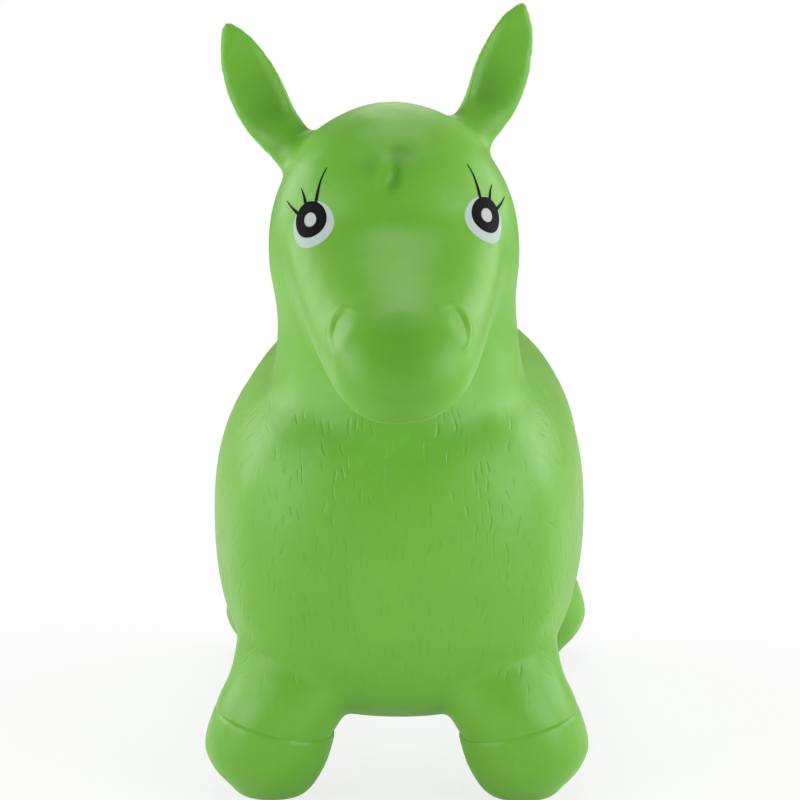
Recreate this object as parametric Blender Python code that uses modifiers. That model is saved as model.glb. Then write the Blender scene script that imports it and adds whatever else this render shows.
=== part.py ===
"""A blow-moulded bouncy horse to ride on, shown as the moulded sections of its skin.

Lengths are in metres. The horse faces -Y and stands on z = 0, with its left side at +X.
The trunk, neck, head, legs and ears are lofted forms. They are joined into one smooth
skin, which is then cut into its sections, each a hollow shell.
"""

import math

import bmesh
import bpy
import numpy as np
from mathutils import Matrix, Vector
from mathutils.bvhtree import BVHTree

# Trunk
TRUNK_LENGTH = 0.520
TRUNK_WIDTH = 0.270
BACK_HEIGHT = 0.318
BELLY_HEIGHT = 0.052
CHEST_REACH = 0.235
CHEST_BULGE = 0.004
RUMP_BULGE = 0.009

# Neck and head
CROWN_HEIGHT = 0.4835
CROWN_BULGE = 0.018
NECK_SETBACK = 0.105
NECK_DEPTH = 0.180
HEAD_WIDTH = 0.171
HEAD_LENGTH = 0.160
MUZZLE_BULGE = 0.032
HEAD_TURN = 2.5
HEAD_LEAN = 2.3

# Ears
EAR_LENGTH = 0.098
EAR_WIDTH = 0.042
EAR_THICKNESS = 0.019
EAR_HOLLOW = 0.0048
EAR_RIM = 0.0060
EAR_TIP_BULGE = 0.005
EAR_TILT = 8.0

# Legs and hooves
HOOF_HEIGHT = 0.058
HOOF_WIDTH = 0.091
HOOF_LENGTH = 0.094
HOOF_TILT = 14.0
HOOF_STEP = 0.0006
LEG_SLOPE = 30.0
LEG_BULGE = 0.010
LEG_GAP = 0.072
FRONT_HOOF_SPREAD = 0.184
REAR_HOOF_SPREAD = 0.206
FRONT_HOOF_Y = -0.172
REAR_HOOF_Y = 0.218
LEG_MARGIN = 0.008

# Skin
WALL = 0.0024
CLEARANCE = 0.0003
SKIN_VOXEL = 0.0042
SKIN_PASSES = 8
BOXY = 2.4
SQUARED = 2.2
ROUND = 2.0
DOME_TURNS = (24, 46, 66, 82)
SHARP_ANGLE = 40.0

# Face
EYE_DIAMETER = 0.0338
IRIS_DIAMETER = 0.0242
GLINT_DIAMETER = 0.0098
EYE_SPACING = 0.1185
EYE_ASIDE = 0.0030
EYE_HEIGHTS = {"left": 0.4085, "right": 0.4110}
PRINT_THICKNESS = 0.0004
PRINT_LIFT = 0.0004
LASH_WIDTH = 0.0021
MOUTH_HEIGHT = 0.3090
MOUTH_DEPTH = 0.0016
MOUTH_WIDTH = 0.0044
NOSTRIL_HEIGHT = 0.3560
NOSTRIL_SPACING = 0.078
NOSTRIL_WIDTH = 0.0180
NOSTRIL_DEPTH = 0.0034
NOSTRIL_RIM = 0.0022

# Mane, forelock and tail
MANE_WIDTH = 0.040
MANE_HEIGHT = 0.009
MANE_WAVE = 0.0022
FORELOCK_WIDTH = 0.020
FORELOCK_HEIGHT = 0.0035
TAIL_WIDTH = 0.044
TAIL_HEIGHT = 0.011
TAIL_WAVE = 0.0016
LOCK_TURN = 1.5

# Air valve
VALVE_Y = 0.030
VALVE_HOLE = 0.0180
SEAT_FLANGE = 0.0240
SEAT_THICKNESS = 0.0016
PLUG_STEM = 0.0080
PLUG_STEM_LENGTH = 0.0130
PLUG_HEAD = 0.0150
PLUG_HEAD_THICKNESS = 0.0022
PLUG_RIB = 0.0006

# Counts
RING_POINTS = 40
SPAN_STEPS = 6
ROUND_STEPS = 24
MANE_LOCKS = 5
TAIL_LOCKS = 4
LOCK_SWAYS = 3
PLUG_RIBS = 3
SKIN_TRIANGLES = 4800
CORE_TRIANGLES = 1500

# Derived places
HEAD_Y = NECK_SETBACK - CHEST_REACH
TRUNK_DEPTH = BACK_HEIGHT - BELLY_HEIGHT

# Each row of the trunk: back from the chest, top, bottom, half width.
TRUNK_SHARES = (
    (0.004, 0.635, 0.365, 0.280),
    (0.014, 0.722, 0.280, 0.450),
    (0.032, 0.812, 0.186, 0.625),
    (0.066, 0.894, 0.080, 0.788),
    (0.135, 0.962, 0.008, 0.905),
    (0.260, 1.006, -0.002, 0.982),
    (0.400, 1.000, 0.000, 0.996),
    (0.548, 0.954, 0.000, 1.000),
    (0.683, 0.943, 0.008, 0.996),
    (0.798, 0.943, 0.042, 0.927),
    (0.885, 0.894, 0.105, 0.800),
    (0.948, 0.800, 0.205, 0.610),
    (0.980, 0.695, 0.315, 0.400),
)
# Each row of the neck: height, reach forward, reach back, half width.
NECK_SHARES = (
    (0.369, 0.500, 0.722, 1.287),
    (0.492, 0.528, 0.667, 1.193),
    (0.615, 0.472, 0.556, 1.030),
    (0.708, 0.428, 0.456, 0.982),
    (0.790, 0.428, 0.400, 1.029),
    (0.862, 0.406, 0.356, 0.980),
    (0.923, 0.350, 0.306, 0.825),
    (0.968, 0.250, 0.230, 0.560),
)
# Each row of the head: top's reach and height, jaw's reach and height, half width, egg.
HEAD_SHARES = (
    (-0.040, 0.950, 0.330, 0.646, 0.660, -0.10),
    (0.190, 0.930, 0.500, 0.615, 0.680, -0.20),
    (0.390, 0.874, 0.630, 0.599, 0.670, -0.18),
    (0.550, 0.826, 0.730, 0.590, 0.640, -0.02),
    (0.700, 0.790, 0.810, 0.585, 0.605, 0.16),
    (0.840, 0.765, 0.880, 0.588, 0.565, 0.28),
)
# Each row of an ear: along, half width, half thickness, shift towards the crown.
EAR_SHARES = (
    (-0.160, 0.860, 1.200, 0.500),
    (0.000, 0.900, 1.050, 0.300),
    (0.200, 0.980, 0.920, 0.050),
    (0.480, 1.020, 0.800, 0.000),
    (0.720, 0.820, 0.660, 0.000),
    (0.880, 0.540, 0.500, 0.000),
    (0.955, 0.310, 0.360, 0.000),
)
# Each row of a hoof: height, outward shift, half width, half length.
HOOF_SHARES = (
    (0.000, -0.080, 0.420, 0.400),
    (0.040, -0.080, 0.520, 0.500),
    (0.164, -0.085, 0.660, 0.665),
    (0.310, -0.050, 0.805, 0.815),
    (0.460, -0.035, 0.910, 0.912),
    (0.620, -0.030, 0.975, 0.975),
    (0.810, -0.080, 0.995, 0.990),
    (1.000, -0.150, 0.985, 1.000),
    (1.400, -0.360, 1.020, 1.000),
)
# Each row of a leg: height, outward shift, half width, half length, shift forward.
LEG_SHARES = (
    (0.550, 0.000, 0.860, 0.900, 0.000),
    (0.860, -0.110, 0.980, 0.970, 0.000),
    (1.200, -0.300, 1.050, 0.970, -0.020),
    (1.520, -0.500, 1.060, 0.920, -0.080),
    (1.810, -0.600, 1.080, 0.880, -0.180),
    (2.400, -0.720, 1.080, 0.860, -0.300),
)
# Each row of the mane: along, half width, rise over the skin.
MANE_SHARES = (
    (0.000, 0.300, 0.30),
    (0.100, 0.700, 0.80),
    (0.300, 1.000, 1.00),
    (0.550, 0.960, 1.00),
    (0.800, 0.780, 0.80),
    (1.000, 0.300, 0.20),
)
# The line of the mane from poll to withers: back share of the neck's depth, height share.
MANE_LINE_SHARES = (
    (0.170, 0.982),
    (0.250, 0.960),
    (0.340, 0.915),
    (0.400, 0.830),
    (0.500, 0.735),
    (0.680, 0.665),
)
# Each row of the tail: along, half width, rise over the rump.
TAIL_SHARES = (
    (0.000, 0.420, 0.20),
    (0.120, 0.620, 0.90),
    (0.350, 0.820, 1.00),
    (0.650, 1.000, 0.95),
    (0.880, 0.640, 0.60),
    (1.000, 0.220, 0.20),
)
# The line of the tail down the rump: back share of the trunk's length, height share.
TAIL_LINE_SHARES = (
    (0.942, 0.795),
    (0.984, 0.700),
    (1.002, 0.560),
    (1.006, 0.410),
    (0.998, 0.290),
    (0.980, 0.210),
)
# Each row of the forelock: along, half width, rise over the brow, sideways shift.
FORELOCK_SHARES = (
    (0.000, 0.700, 0.30, 0.00),
    (0.300, 1.000, 1.00, 0.45),
    (0.600, 0.800, 1.00, 0.30),
    (0.850, 0.420, 0.70, 0.00),
    (1.000, 0.120, 0.20, -0.20),
)
# The line of the forelock over the brow: reach share of the head's length, height share.
FORELOCK_LINE_SHARES = (
    (-0.020, 0.996),
    (0.120, 0.968),
    (0.260, 0.934),
    (0.370, 0.900),
)
# The front of the muzzle, where the face is pressed: reach along the head, and height.
MUZZLE_REACH_SHARES = (0.55, 0.75)
MUZZLE_HEIGHT_SHARES = (0.54, 0.82)
SMILE_SHARE = 0.3
RIM_WIDTH_SHARE = 0.14
DIP_WIDTH_SHARE = 0.36
# A nostril's rim, outward and up from its centre, in widths of the nostril.
NOSTRIL_RIM_SHARES = ((-0.30, 0.66), (0.20, 0.52), (0.50, -0.10), (0.44, -0.62))
# Each lash, outward and up from the iris's centre, in radii of the eye's white.
LASH_SHARES = {
    "inner": ((-0.15, 0.87), (-0.15, 1.25), (-0.18, 1.66), (-0.30, 2.12)),
    "middle": ((0.45, 0.76), (0.56, 1.05), (0.68, 1.28)),
    "outer": ((0.82, 0.30), (1.12, 0.46), (1.50, 0.68)),
}
# Where each ear roots on the head, sideways and up, and its splay in degrees.
EAR_ROOT_SHARES = {"left": 0.770, "right": 0.890}
EAR_SPLAY = {"left": 20.0, "right": 21.5}
EAR_HEIGHT_SHARES = {"left": 0.954, "right": 0.945}
EAR_BACK_SHARE = 0.09
EAR_CUT_SHARE = 0.14
EAR_BOX_SHARE = 1.4
# The hollow of an ear: its width, and where along the ear it sinks and rises again.
EAR_BOWL_SHARE = 0.74
EAR_BOWL_SHARES = ((0.02, 0.30), (0.70, 0.96))
EYE_SHIFT_SHARES = (0.135, 0.190)
VALVE_FLAT_SHARES = (0.80, 1.30)
PLUG_RIB_SHARES = (0.40, 0.60)
LASH_TIP_SHARE = 0.25
NECK_CUT_SHARES = ((0.611, 0.990), (0.583, 0.545))
HEAD_CUT_SHARES = ((0.378, 0.830), (0.456, 0.585))

SKIN_ROUGHNESS = 0.40
PRINT_ROUGHNESS = 0.25
GREEN = (0.178, 0.497, 0.058, 1.0)
WHITE = (0.474, 0.584, 0.552, 1.0)
BLACK = (0.012, 0.012, 0.013, 1.0)
CREAM = (0.680, 0.680, 0.640, 1.0)


def smooth_rows(rows, steps=SPAN_STEPS):
    """The rows read along a smooth curve that passes through each of them."""
    rows = np.array(rows, float)
    gaps = np.linalg.norm(np.diff(rows[:, :3], axis=0), axis=1)
    along = np.concatenate([[0.0], np.cumsum(gaps)])
    slopes = np.gradient(rows, along, axis=0)
    read = []
    for i, gap in enumerate(gaps):
        for t in np.arange(steps) / steps:
            read.append(
                (1 + 2 * t) * (1 - t) ** 2 * rows[i]
                + t * (1 - t) ** 2 * gap * slopes[i]
                + t * t * (3 - 2 * t) * rows[i + 1]
                - t * t * (1 - t) * gap * slopes[i + 1]
            )
    return np.array(read + [rows[-1]])


def smoothstep(values, low, high):
    t = np.clip((np.asarray(values) - low) / (high - low), 0, 1)
    return t * t * (3 - 2 * t)


def neck_plane():
    """A point on the cut between trunk and neck, and the cut's normal, up and forward."""
    return cut_plane(NECK_CUT_SHARES, BACK_HEIGHT)


def head_plane():
    return cut_plane(HEAD_CUT_SHARES, CROWN_HEIGHT)


def cut_plane(shares, height):
    (back, high), (front, low) = shares
    start = Vector((0, HEAD_Y + back * NECK_DEPTH, high * height))
    end = Vector((0, HEAD_Y - front * NECK_DEPTH, low * CROWN_HEIGHT))
    run = end - start
    return (start + end) / 2, Vector((0, run.z, -run.y)).normalized()


def pose_matrix(weight=1.0):
    """The head's turn and lean about the root of the neck, in full or in part."""
    pivot = Vector((0, HEAD_Y, BACK_HEIGHT))
    turn = Matrix.Rotation(math.radians(HEAD_TURN * weight), 4, "Z")
    lean = Matrix.Rotation(math.radians(-HEAD_LEAN * weight), 4, "Y")
    return Matrix.Translation(pivot) @ turn @ lean @ Matrix.Translation(-pivot)


def posed(points):
    """Points turned with the head, more and more along the neck."""
    point, normal = neck_plane()
    above = (points - np.array(point)) @ np.array(normal)
    weights = smoothstep(above, 0, NECK_DEPTH / 3)
    rested = np.c_[points, np.ones(len(points))]
    still, turned = (np.array(pose_matrix(w)) for w in (0, 1))
    mixed = rested @ still.T * (1 - weights[:, None]) + rested @ turned.T * weights[:, None]
    return mixed[:, :3]


def new_collection(name, hidden=False):
    found = bpy.data.collections.new(name)
    found.hide_render = hidden
    bpy.context.scene.collection.children.link(found)
    return found


def add_object(name, mesh, collection):
    made = bpy.data.objects.new(name, mesh)
    collection.objects.link(made)
    return made


def mesh_from(name, build):
    """A mesh made by a function that fills a bmesh."""
    work = bmesh.new()
    build(work)
    bmesh.ops.recalc_face_normals(work, faces=work.faces)
    mesh = bpy.data.meshes.new(name)
    work.to_mesh(mesh)
    work.free()
    return mesh


def loft(name, rows, bulges, matrix=None, around=RING_POINTS, steps=SPAN_STEPS, comb=None, dome=1):
    """A closed form through cross sections, with rounded ends.

    Each row holds the section's sideways shift, its first and second points in the
    plane x = 0, its half width, its squareness and how egg-shaped it is. An end's dome
    is a half round where dome is 1, and a shallow bowl where it is 2.
    """
    rings = section_rings(smooth_rows(rows, steps), around)
    if comb:
        rings = combed(rings, *comb)
    rings = capped(rings[0], rings[1], bulges[0], dome)[::-1] + rings
    rings = rings + capped(rings[-1], rings[-2], bulges[1], dome)
    points = np.concatenate(rings)
    if matrix:
        points = points @ np.array(matrix.to_3x3()).T + np.array(matrix.translation)
    points = posed(points)

    def build(work):
        verts = [work.verts.new(p) for p in points]
        loops = [verts[i : i + around] for i in range(0, len(verts), around)]
        for lower, upper in zip(loops, loops[1:]):
            for k in range(around):
                j = (k + 1) % around
                work.faces.new((lower[k], lower[j], upper[j], upper[k]))
        work.faces.new(loops[0][::-1])
        work.faces.new(loops[-1])

    return add_object(name, mesh_from(name, build), forms)


def section_rings(rows, around):
    angles = np.linspace(0, 2 * math.pi, around, endpoint=False)
    rings = []
    for x, y1, z1, y2, z2, half_width, square, egg in rows:
        cosines = np.sign(np.cos(angles)) * np.abs(np.cos(angles)) ** (2 / square)
        sines = np.sign(np.sin(angles)) * np.abs(np.sin(angles)) ** (2 / square)
        middle = np.array((x, (y1 + y2) / 2, (z1 + z2) / 2))
        reach = np.array((0, (y1 - y2) / 2, (z1 - z2) / 2))
        across = np.array((half_width, 0, 0))
        sideways = (sines * (1 + egg * cosines))[:, None] * across
        rings.append(middle + cosines[:, None] * reach + sideways)
    return rings


def capped(ring, inner, bulge, dome):
    """Rings that close an end as a dome of this height."""
    if not bulge:
        return []
    centre = ring.mean(axis=0)
    out = centre - inner.mean(axis=0)
    out /= np.linalg.norm(out)
    turns = np.radians(DOME_TURNS)
    rises = out * bulge * np.sin(turns)[:, None] ** dome
    return [centre + (ring - centre) * share + rise for share, rise in zip(np.cos(turns), rises)]


def combed(rings, locks, wave):
    """Rings whose outer side is drawn into locks that wander from side to side."""
    angles = np.linspace(0, 2 * math.pi, len(rings[0]), endpoint=False)
    drawn = []
    for i, ring in enumerate(rings):
        along = i / (len(rings) - 1)
        outward = ring - ring.mean(axis=0)
        outward /= np.linalg.norm(outward, axis=1)[:, None]
        sway = math.sin(along * math.pi * LOCK_SWAYS) * LOCK_TURN
        ripple = np.cos(angles * locks + sway) * math.sin(along * math.pi)
        drawn.append(ring + outward * (ripple * wave)[:, None])
    return drawn


def ridge_rows(tree, line, shares, width, height, facing=1):
    """Sections of a raised band on the skin, along a line of (y, z) places near it.

    It rises to the left of the line's run, or to the right where facing is -1.
    """
    line = np.array([tree.find_nearest((0, y, z))[0][1:] for y, z in smooth_rows(line)])
    gaps = np.linalg.norm(np.diff(line, axis=0), axis=1)
    along = np.concatenate([[0.0], np.cumsum(gaps)]) / gaps.sum()
    run = np.gradient(line, along, axis=0)
    run /= np.linalg.norm(run, axis=1)[:, None]
    rows = []
    for share, half, rise, *aside in shares:
        y, z, run_y, run_z = (np.interp(share, along, c) for c in (*line.T, *run.T))
        out = np.array((-run_z, run_y)) * facing
        top = (y, z) + out * height * rise
        root = (y, z) - out * (height + WALL)
        x = aside[0] * width / 2 if aside else 0
        rows.append((x, *top, *root, half * width / 2, ROUND, 0))
    return rows


def mane_rows(tree):
    line = [(HEAD_Y + b * NECK_DEPTH, h * CROWN_HEIGHT) for b, h in MANE_LINE_SHARES]
    return ridge_rows(tree, line, MANE_SHARES, MANE_WIDTH, MANE_HEIGHT)


def forelock_rows(tree):
    line = [(HEAD_Y - a * HEAD_LENGTH, h * CROWN_HEIGHT) for a, h in FORELOCK_LINE_SHARES]
    return ridge_rows(tree, line, FORELOCK_SHARES, FORELOCK_WIDTH, FORELOCK_HEIGHT, -1)


def tail_rows(tree):
    line = [
        (b * TRUNK_LENGTH - CHEST_REACH, BELLY_HEIGHT + h * TRUNK_DEPTH)
        for b, h in TAIL_LINE_SHARES
    ]
    return ridge_rows(tree, line, TAIL_SHARES, TAIL_WIDTH, TAIL_HEIGHT)


def trunk_rows():
    rows = []
    for back, top, bottom, half in TRUNK_SHARES:
        y = back * TRUNK_LENGTH - CHEST_REACH
        high = BELLY_HEIGHT + top * TRUNK_DEPTH
        low = BELLY_HEIGHT + bottom * TRUNK_DEPTH
        rows.append((0, y, high, y, low, half * TRUNK_WIDTH / 2, BOXY, 0))
    return rows


def neck_rows():
    rows = []
    for height, ahead, behind, half in NECK_SHARES:
        z = height * CROWN_HEIGHT
        front = HEAD_Y - ahead * NECK_DEPTH
        back = HEAD_Y + behind * NECK_DEPTH
        rows.append((0, front, z, back, z, half * HEAD_WIDTH / 2, SQUARED, 0))
    return rows


def head_rows():
    rows = []
    for ahead, high, jaw, low, half, egg in HEAD_SHARES:
        top = (HEAD_Y - ahead * HEAD_LENGTH, high * CROWN_HEIGHT)
        bottom = (HEAD_Y - jaw * HEAD_LENGTH, low * CROWN_HEIGHT)
        rows.append((0, *top, *bottom, half * HEAD_WIDTH / 2, SQUARED, egg))
    return rows


def ear_matrix(side):
    """An ear's own frame: its root at the origin, its tip up, its hollow facing -Y."""
    sign = 1 if side == "left" else -1
    root = Vector(
        (
            sign * EAR_ROOT_SHARES[side] * HEAD_WIDTH / 2,
            HEAD_Y + EAR_BACK_SHARE * NECK_DEPTH,
            EAR_HEIGHT_SHARES[side] * CROWN_HEIGHT,
        )
    )
    splay = Matrix.Rotation(math.radians(sign * EAR_SPLAY[side]), 4, "Y")
    tilt = Matrix.Rotation(math.radians(-EAR_TILT), 4, "X")
    return Matrix.Translation(root) @ splay @ tilt


def ear_rows(side):
    inward = -1 if side == "left" else 1
    rows = []
    for along, half, thick, shift in EAR_SHARES:
        z = along * EAR_LENGTH
        x = inward * shift * EAR_WIDTH / 2
        deep = thick * EAR_THICKNESS / 2
        rows.append((x, -deep, z, deep, z, half * EAR_WIDTH / 2, ROUND, 0))
    return rows


def ear_sink(along):
    """How deep the hollow in the front of an ear is, at shares of the ear's length."""
    sink, rise = EAR_BOWL_SHARES
    return EAR_HOLLOW * smoothstep(along, *sink) * (1 - smoothstep(along, *rise))


def ear_core_rows(side):
    """The space inside an ear, a wall's thickness in from its skin."""
    rows = []
    for x, front, z, back, _, wide, square, egg in ear_rows(side):
        back -= WALL
        front = min(front + WALL + ear_sink(z / EAR_LENGTH), back - WALL / 2)
        z -= z / EAR_LENGTH * WALL
        rows.append((x, front, z, back, z, max(wide - EAR_RIM, WALL / 2), square, egg))
    return rows


def leg_places():
    """Each leg's name, its side's sign, and its hoof's centre."""
    for row, spread, y in (
        ("front", FRONT_HOOF_SPREAD, FRONT_HOOF_Y),
        ("rear", REAR_HOOF_SPREAD, REAR_HOOF_Y),
    ):
        for side, sign in (("left", 1), ("right", -1)):
            yield f"{row}_{side}", sign, sign * spread / 2, y


def leg_rows(sign, x, y):
    rows = []
    forward = -1 if y < 0 else 1
    for height, out, half, deep, ahead in LEG_SHARES:
        middle = y + forward * ahead * HOOF_LENGTH / 2
        reach = deep * HOOF_LENGTH / 2
        z = height * HOOF_HEIGHT
        centre = x + sign * out * HOOF_WIDTH / 2
        wide = half * HOOF_WIDTH / 2
        rows.append((centre, middle - reach, z, middle + reach, z, wide, SQUARED, 0))
    return rows


def hoof_rows(sign, x, y, inset=0.0):
    rows = []
    for height, out, half, deep in HOOF_SHARES:
        z = inset + height * HOOF_HEIGHT
        reach = deep * HOOF_LENGTH / 2 + HOOF_STEP - inset
        wide = half * HOOF_WIDTH / 2 + HOOF_STEP - inset
        centre = x + sign * out * HOOF_WIDTH / 2
        rows.append((centre, y - reach, z, y + reach, z, wide, SQUARED, 0))
    return rows


def evaluated(obj):
    """Replaces an object's mesh by the one that its modifiers make."""
    graph = bpy.context.evaluated_depsgraph_get()
    mesh = bpy.data.meshes.new_from_object(obj.evaluated_get(graph))
    obj.modifiers.clear()
    obj.data = mesh
    return obj


def joined(name, pieces):
    """One object that holds the meshes of several."""
    work = bmesh.new()
    for piece in pieces:
        work.from_mesh(piece.data)
    mesh = bpy.data.meshes.new(name)
    work.to_mesh(mesh)
    work.free()
    return add_object(name, mesh, forms)


def melded(name, pieces, voxel, passes):
    """Several closed forms made one smooth closed surface."""
    whole = joined(name, pieces)
    remesh = whole.modifiers.new("meld", "REMESH")
    remesh.mode = "VOXEL"
    remesh.voxel_size = voxel
    relax = whole.modifiers.new("relax", "SMOOTH")
    relax.factor = 0.5
    relax.iterations = passes
    return evaluated(whole)


def read_points(mesh):
    flat = np.empty(len(mesh.vertices) * 3)
    mesh.vertices.foreach_get("co", flat)
    return flat.reshape(-1, 3)


def write_points(mesh, points):
    mesh.vertices.foreach_set("co", points.astype(np.float32).ravel())
    mesh.update()


def reduced(obj, triangles):
    """The surface with about this many triangles."""
    obj.data.calc_loop_triangles()
    thin = obj.modifiers.new("reduce", "DECIMATE")
    thin.ratio = min(1.0, triangles / len(obj.data.loop_triangles))
    thin.use_collapse_triangulate = True
    return evaluated(obj)


def in_frame(points, matrix):
    back = np.array(matrix.inverted())
    return points @ back[:3, :3].T + back[:3, 3]


def to_frame(points, matrix):
    there = np.array(matrix)
    return points @ there[:3, :3].T + there[:3, 3]


def bump(distance, width):
    return np.exp(-((distance / width) ** 2))


def distance_to_line(points, line):
    """How far each point in a plane lies from a chain of straight runs."""
    nearest = np.full(len(points), np.inf)
    for start, end in zip(line, line[1:]):
        run = end - start
        t = np.clip((points - start) @ run / (run @ run), 0, 1)
        nearest = np.minimum(nearest, np.linalg.norm(points - start - t[:, None] * run, axis=1))
    return nearest


def face_relief(points):
    """The nostrils and the mouth, pressed into the front of the muzzle."""
    head = in_frame(points, pose_matrix())
    front = smoothstep((HEAD_Y - head[:, 1]) / HEAD_LENGTH, *MUZZLE_REACH_SHARES)
    low, high = MUZZLE_HEIGHT_SHARES
    rise = head[:, 2] / CROWN_HEIGHT
    front = front * ((low < rise) & (rise < high))
    side = np.abs(head[:, 0]) - NOSTRIL_SPACING / 2
    flat = np.c_[side, head[:, 2] - NOSTRIL_HEIGHT]
    rim = np.array(NOSTRIL_RIM_SHARES) * NOSTRIL_WIDTH
    swell = NOSTRIL_RIM * bump(distance_to_line(flat, rim), NOSTRIL_WIDTH * RIM_WIDTH_SHARE)
    dip = NOSTRIL_DEPTH * bump(np.linalg.norm(flat, axis=1), NOSTRIL_WIDTH * DIP_WIDTH_SHARE)
    smile = MOUTH_HEIGHT + (head[:, 0] / HEAD_WIDTH) ** 2 * HEAD_WIDTH * SMILE_SHARE
    lips = MOUTH_DEPTH * bump(head[:, 2] - smile, MOUTH_WIDTH)
    push = (dip + lips - swell) * front
    head[:, 1] += push
    return np.where(front[:, None] > 0, to_frame(head, pose_matrix()), points)


def valve_flat(points, height):
    """The belly levelled at a height where the air valve sits."""
    reach = np.hypot(points[:, 0], points[:, 1] - VALVE_Y)
    flat = 1 - smoothstep(reach / SEAT_FLANGE, *VALVE_FLAT_SHARES)
    flat = flat * (points[:, 2] < BACK_HEIGHT / 2)
    points[:, 2] += (height - points[:, 2]) * flat
    return points


def ear_relief(points, side):
    """The hollow in the front of an ear."""
    matrix = pose_matrix() @ ear_matrix(side)
    ear = in_frame(points, matrix)
    along = ear[:, 2] / EAR_LENGTH
    shares = np.array(EAR_SHARES)
    half = np.interp(along, shares[:, 0], shares[:, 1]) * EAR_WIDTH / 2
    bowl = np.clip(1 - (ear[:, 0] / (half * EAR_BOWL_SHARE)) ** 2, 0, 1)
    facing = (ear[:, 1] < 0) & (np.abs(ear[:, 0]) < EAR_WIDTH) & (along > 0) & (along < 1)
    push = ear_sink(along) * bowl * facing
    ear[:, 1] += push
    return np.where(push[:, None] > 0, to_frame(ear, matrix), points)


def cut(obj, tool, operation="DIFFERENCE"):
    boolean = obj.modifiers.new(operation.lower(), "BOOLEAN")
    boolean.operation = operation
    boolean.solver = "EXACT"
    boolean.object = tool
    return obj


def as_cutter(tool):
    tool.display_type = "WIRE"
    tool.hide_render = True
    return tool


def cutter(name, size, matrix):
    """A box that cuts, as a cube scaled to a size and placed by a matrix."""

    def build(work):
        bmesh.ops.create_cube(work, size=1)
        bmesh.ops.scale(work, vec=size, verts=work.verts)
        bmesh.ops.transform(work, matrix=matrix, verts=work.verts)

    return as_cutter(add_object(name, mesh_from(name, build), cutters))


def beyond(name, point, normal, size, gap=CLEARANCE / 2):
    """A box that starts just past a plane and reaches away along its normal."""
    turned = Vector(normal).normalized().to_track_quat("Z", "X").to_matrix().to_4x4()
    shift = Matrix.Translation((0, 0, size[2] / 2 + gap))
    return cutter(name, size, Matrix.Translation(point) @ turned @ shift)


def section(name, source):
    """A copy of the skin's outer form, to be cut down to one section of it."""
    return add_object(name, source.data.copy(), parts)


def leg_box(name, sign, y, gap):
    """The space below the slanted root of a leg, grown by a gap."""
    slope = math.radians(LEG_SLOPE)
    normal = Vector((-sign * math.sin(slope), 0, math.cos(slope)))
    run = Vector((sign * math.cos(slope), 0, math.sin(slope)))
    inner = Vector((sign * LEG_GAP / 2, 0, BELLY_HEIGHT))
    start = inner - run * LEG_GAP / 4
    edge = abs(y) - HOOF_LENGTH / 2 - LEG_MARGIN
    centre = start + run * (TRUNK_WIDTH / 2 - gap) - normal * (BACK_HEIGHT / 2 - gap)
    middle_y = math.copysign(edge + TRUNK_LENGTH / 2 - gap, y)
    frame = Matrix.Translation((centre.x, middle_y, centre.z))
    turn = Matrix.Rotation(math.atan2(run.x, run.z) - math.pi / 2, 4, "Y")
    return cutter(name, (TRUNK_WIDTH, TRUNK_LENGTH, BACK_HEIGHT), frame @ turn)


def hoof_plane(sign, x, y):
    """The slanted top of a hoof: a point on it, and its normal."""
    tilt = math.radians(HOOF_TILT)
    return Vector((x, y, HOOF_HEIGHT)), Vector((-sign * math.sin(tilt), 0, math.cos(tilt)))


def finish(obj, colour, roughness):
    """Gives a piece its own material and smooth shading."""
    material = bpy.data.materials.new(obj.name)
    material.use_nodes = True
    shader = material.node_tree.nodes["Principled BSDF"]
    shader.inputs["Base Color"].default_value = colour
    shader.inputs["Roughness"].default_value = roughness
    material.diffuse_color = colour
    obj.data.materials.clear()
    obj.data.materials.append(material)
    obj.data.shade_smooth()
    obj.data.set_sharp_from_angle(angle=math.radians(SHARP_ANGLE))
    return obj


def without_scraps(obj):
    """Drops the loose slivers that a cut leaves beside the piece itself."""
    work = bmesh.new()
    work.from_mesh(obj.data)
    left = set(work.verts)
    bodies = []
    while left:
        body = {left.pop()}
        edge = set(body)
        while edge:
            edge = {e.other_vert(v) for v in edge for e in v.link_edges} - body
            body |= edge
        left -= body
        bodies.append(body)
    whole = max(bodies, key=len)
    scraps = [v for v in work.verts if v not in whole]
    bmesh.ops.delete(work, geom=scraps, context="VERTS")
    work.to_mesh(obj.data)
    work.free()
    return obj


def moulded(obj):
    """A finished piece of the green skin."""
    return finish(without_scraps(evaluated(obj)), GREEN, SKIN_ROUGHNESS)


def make_outer():
    """The skin's outer form, with its relief."""
    trunk = loft("trunk_form", trunk_rows(), (CHEST_BULGE, RUMP_BULGE), dome=2)
    neck = loft("neck_form", neck_rows(), (0, CROWN_BULGE))
    head = loft("head_form", head_rows(), (CROWN_BULGE, MUZZLE_BULGE))
    legs = [
        loft(f"{name}_form", leg_rows(sign, x, y), (0, LEG_BULGE))
        for name, sign, x, y in leg_places()
    ]
    ears = [
        loft(f"{side}_ear_form", ear_rows(side), (0, EAR_TIP_BULGE), ear_matrix(side))
        for side in EAR_SPLAY
    ]
    body = [trunk, neck, head, *legs]
    outer = melded("outer", body + ears, SKIN_VOXEL, SKIN_PASSES)
    points = face_relief(read_points(outer.data))
    for side in EAR_SPLAY:
        points = ear_relief(points, side)
    write_points(outer.data, valve_flat(points, BELLY_HEIGHT))
    return reduced(outer, SKIN_TRIANGLES), body


def shifted(name, source, distance):
    """A copy of a surface moved out along its normals, or in where that is negative."""
    copy = add_object(name, source.data.copy(), forms)
    move = copy.modifiers.new("shift", "DISPLACE")
    move.mid_level = 0
    move.strength = distance
    return evaluated(copy)


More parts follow.
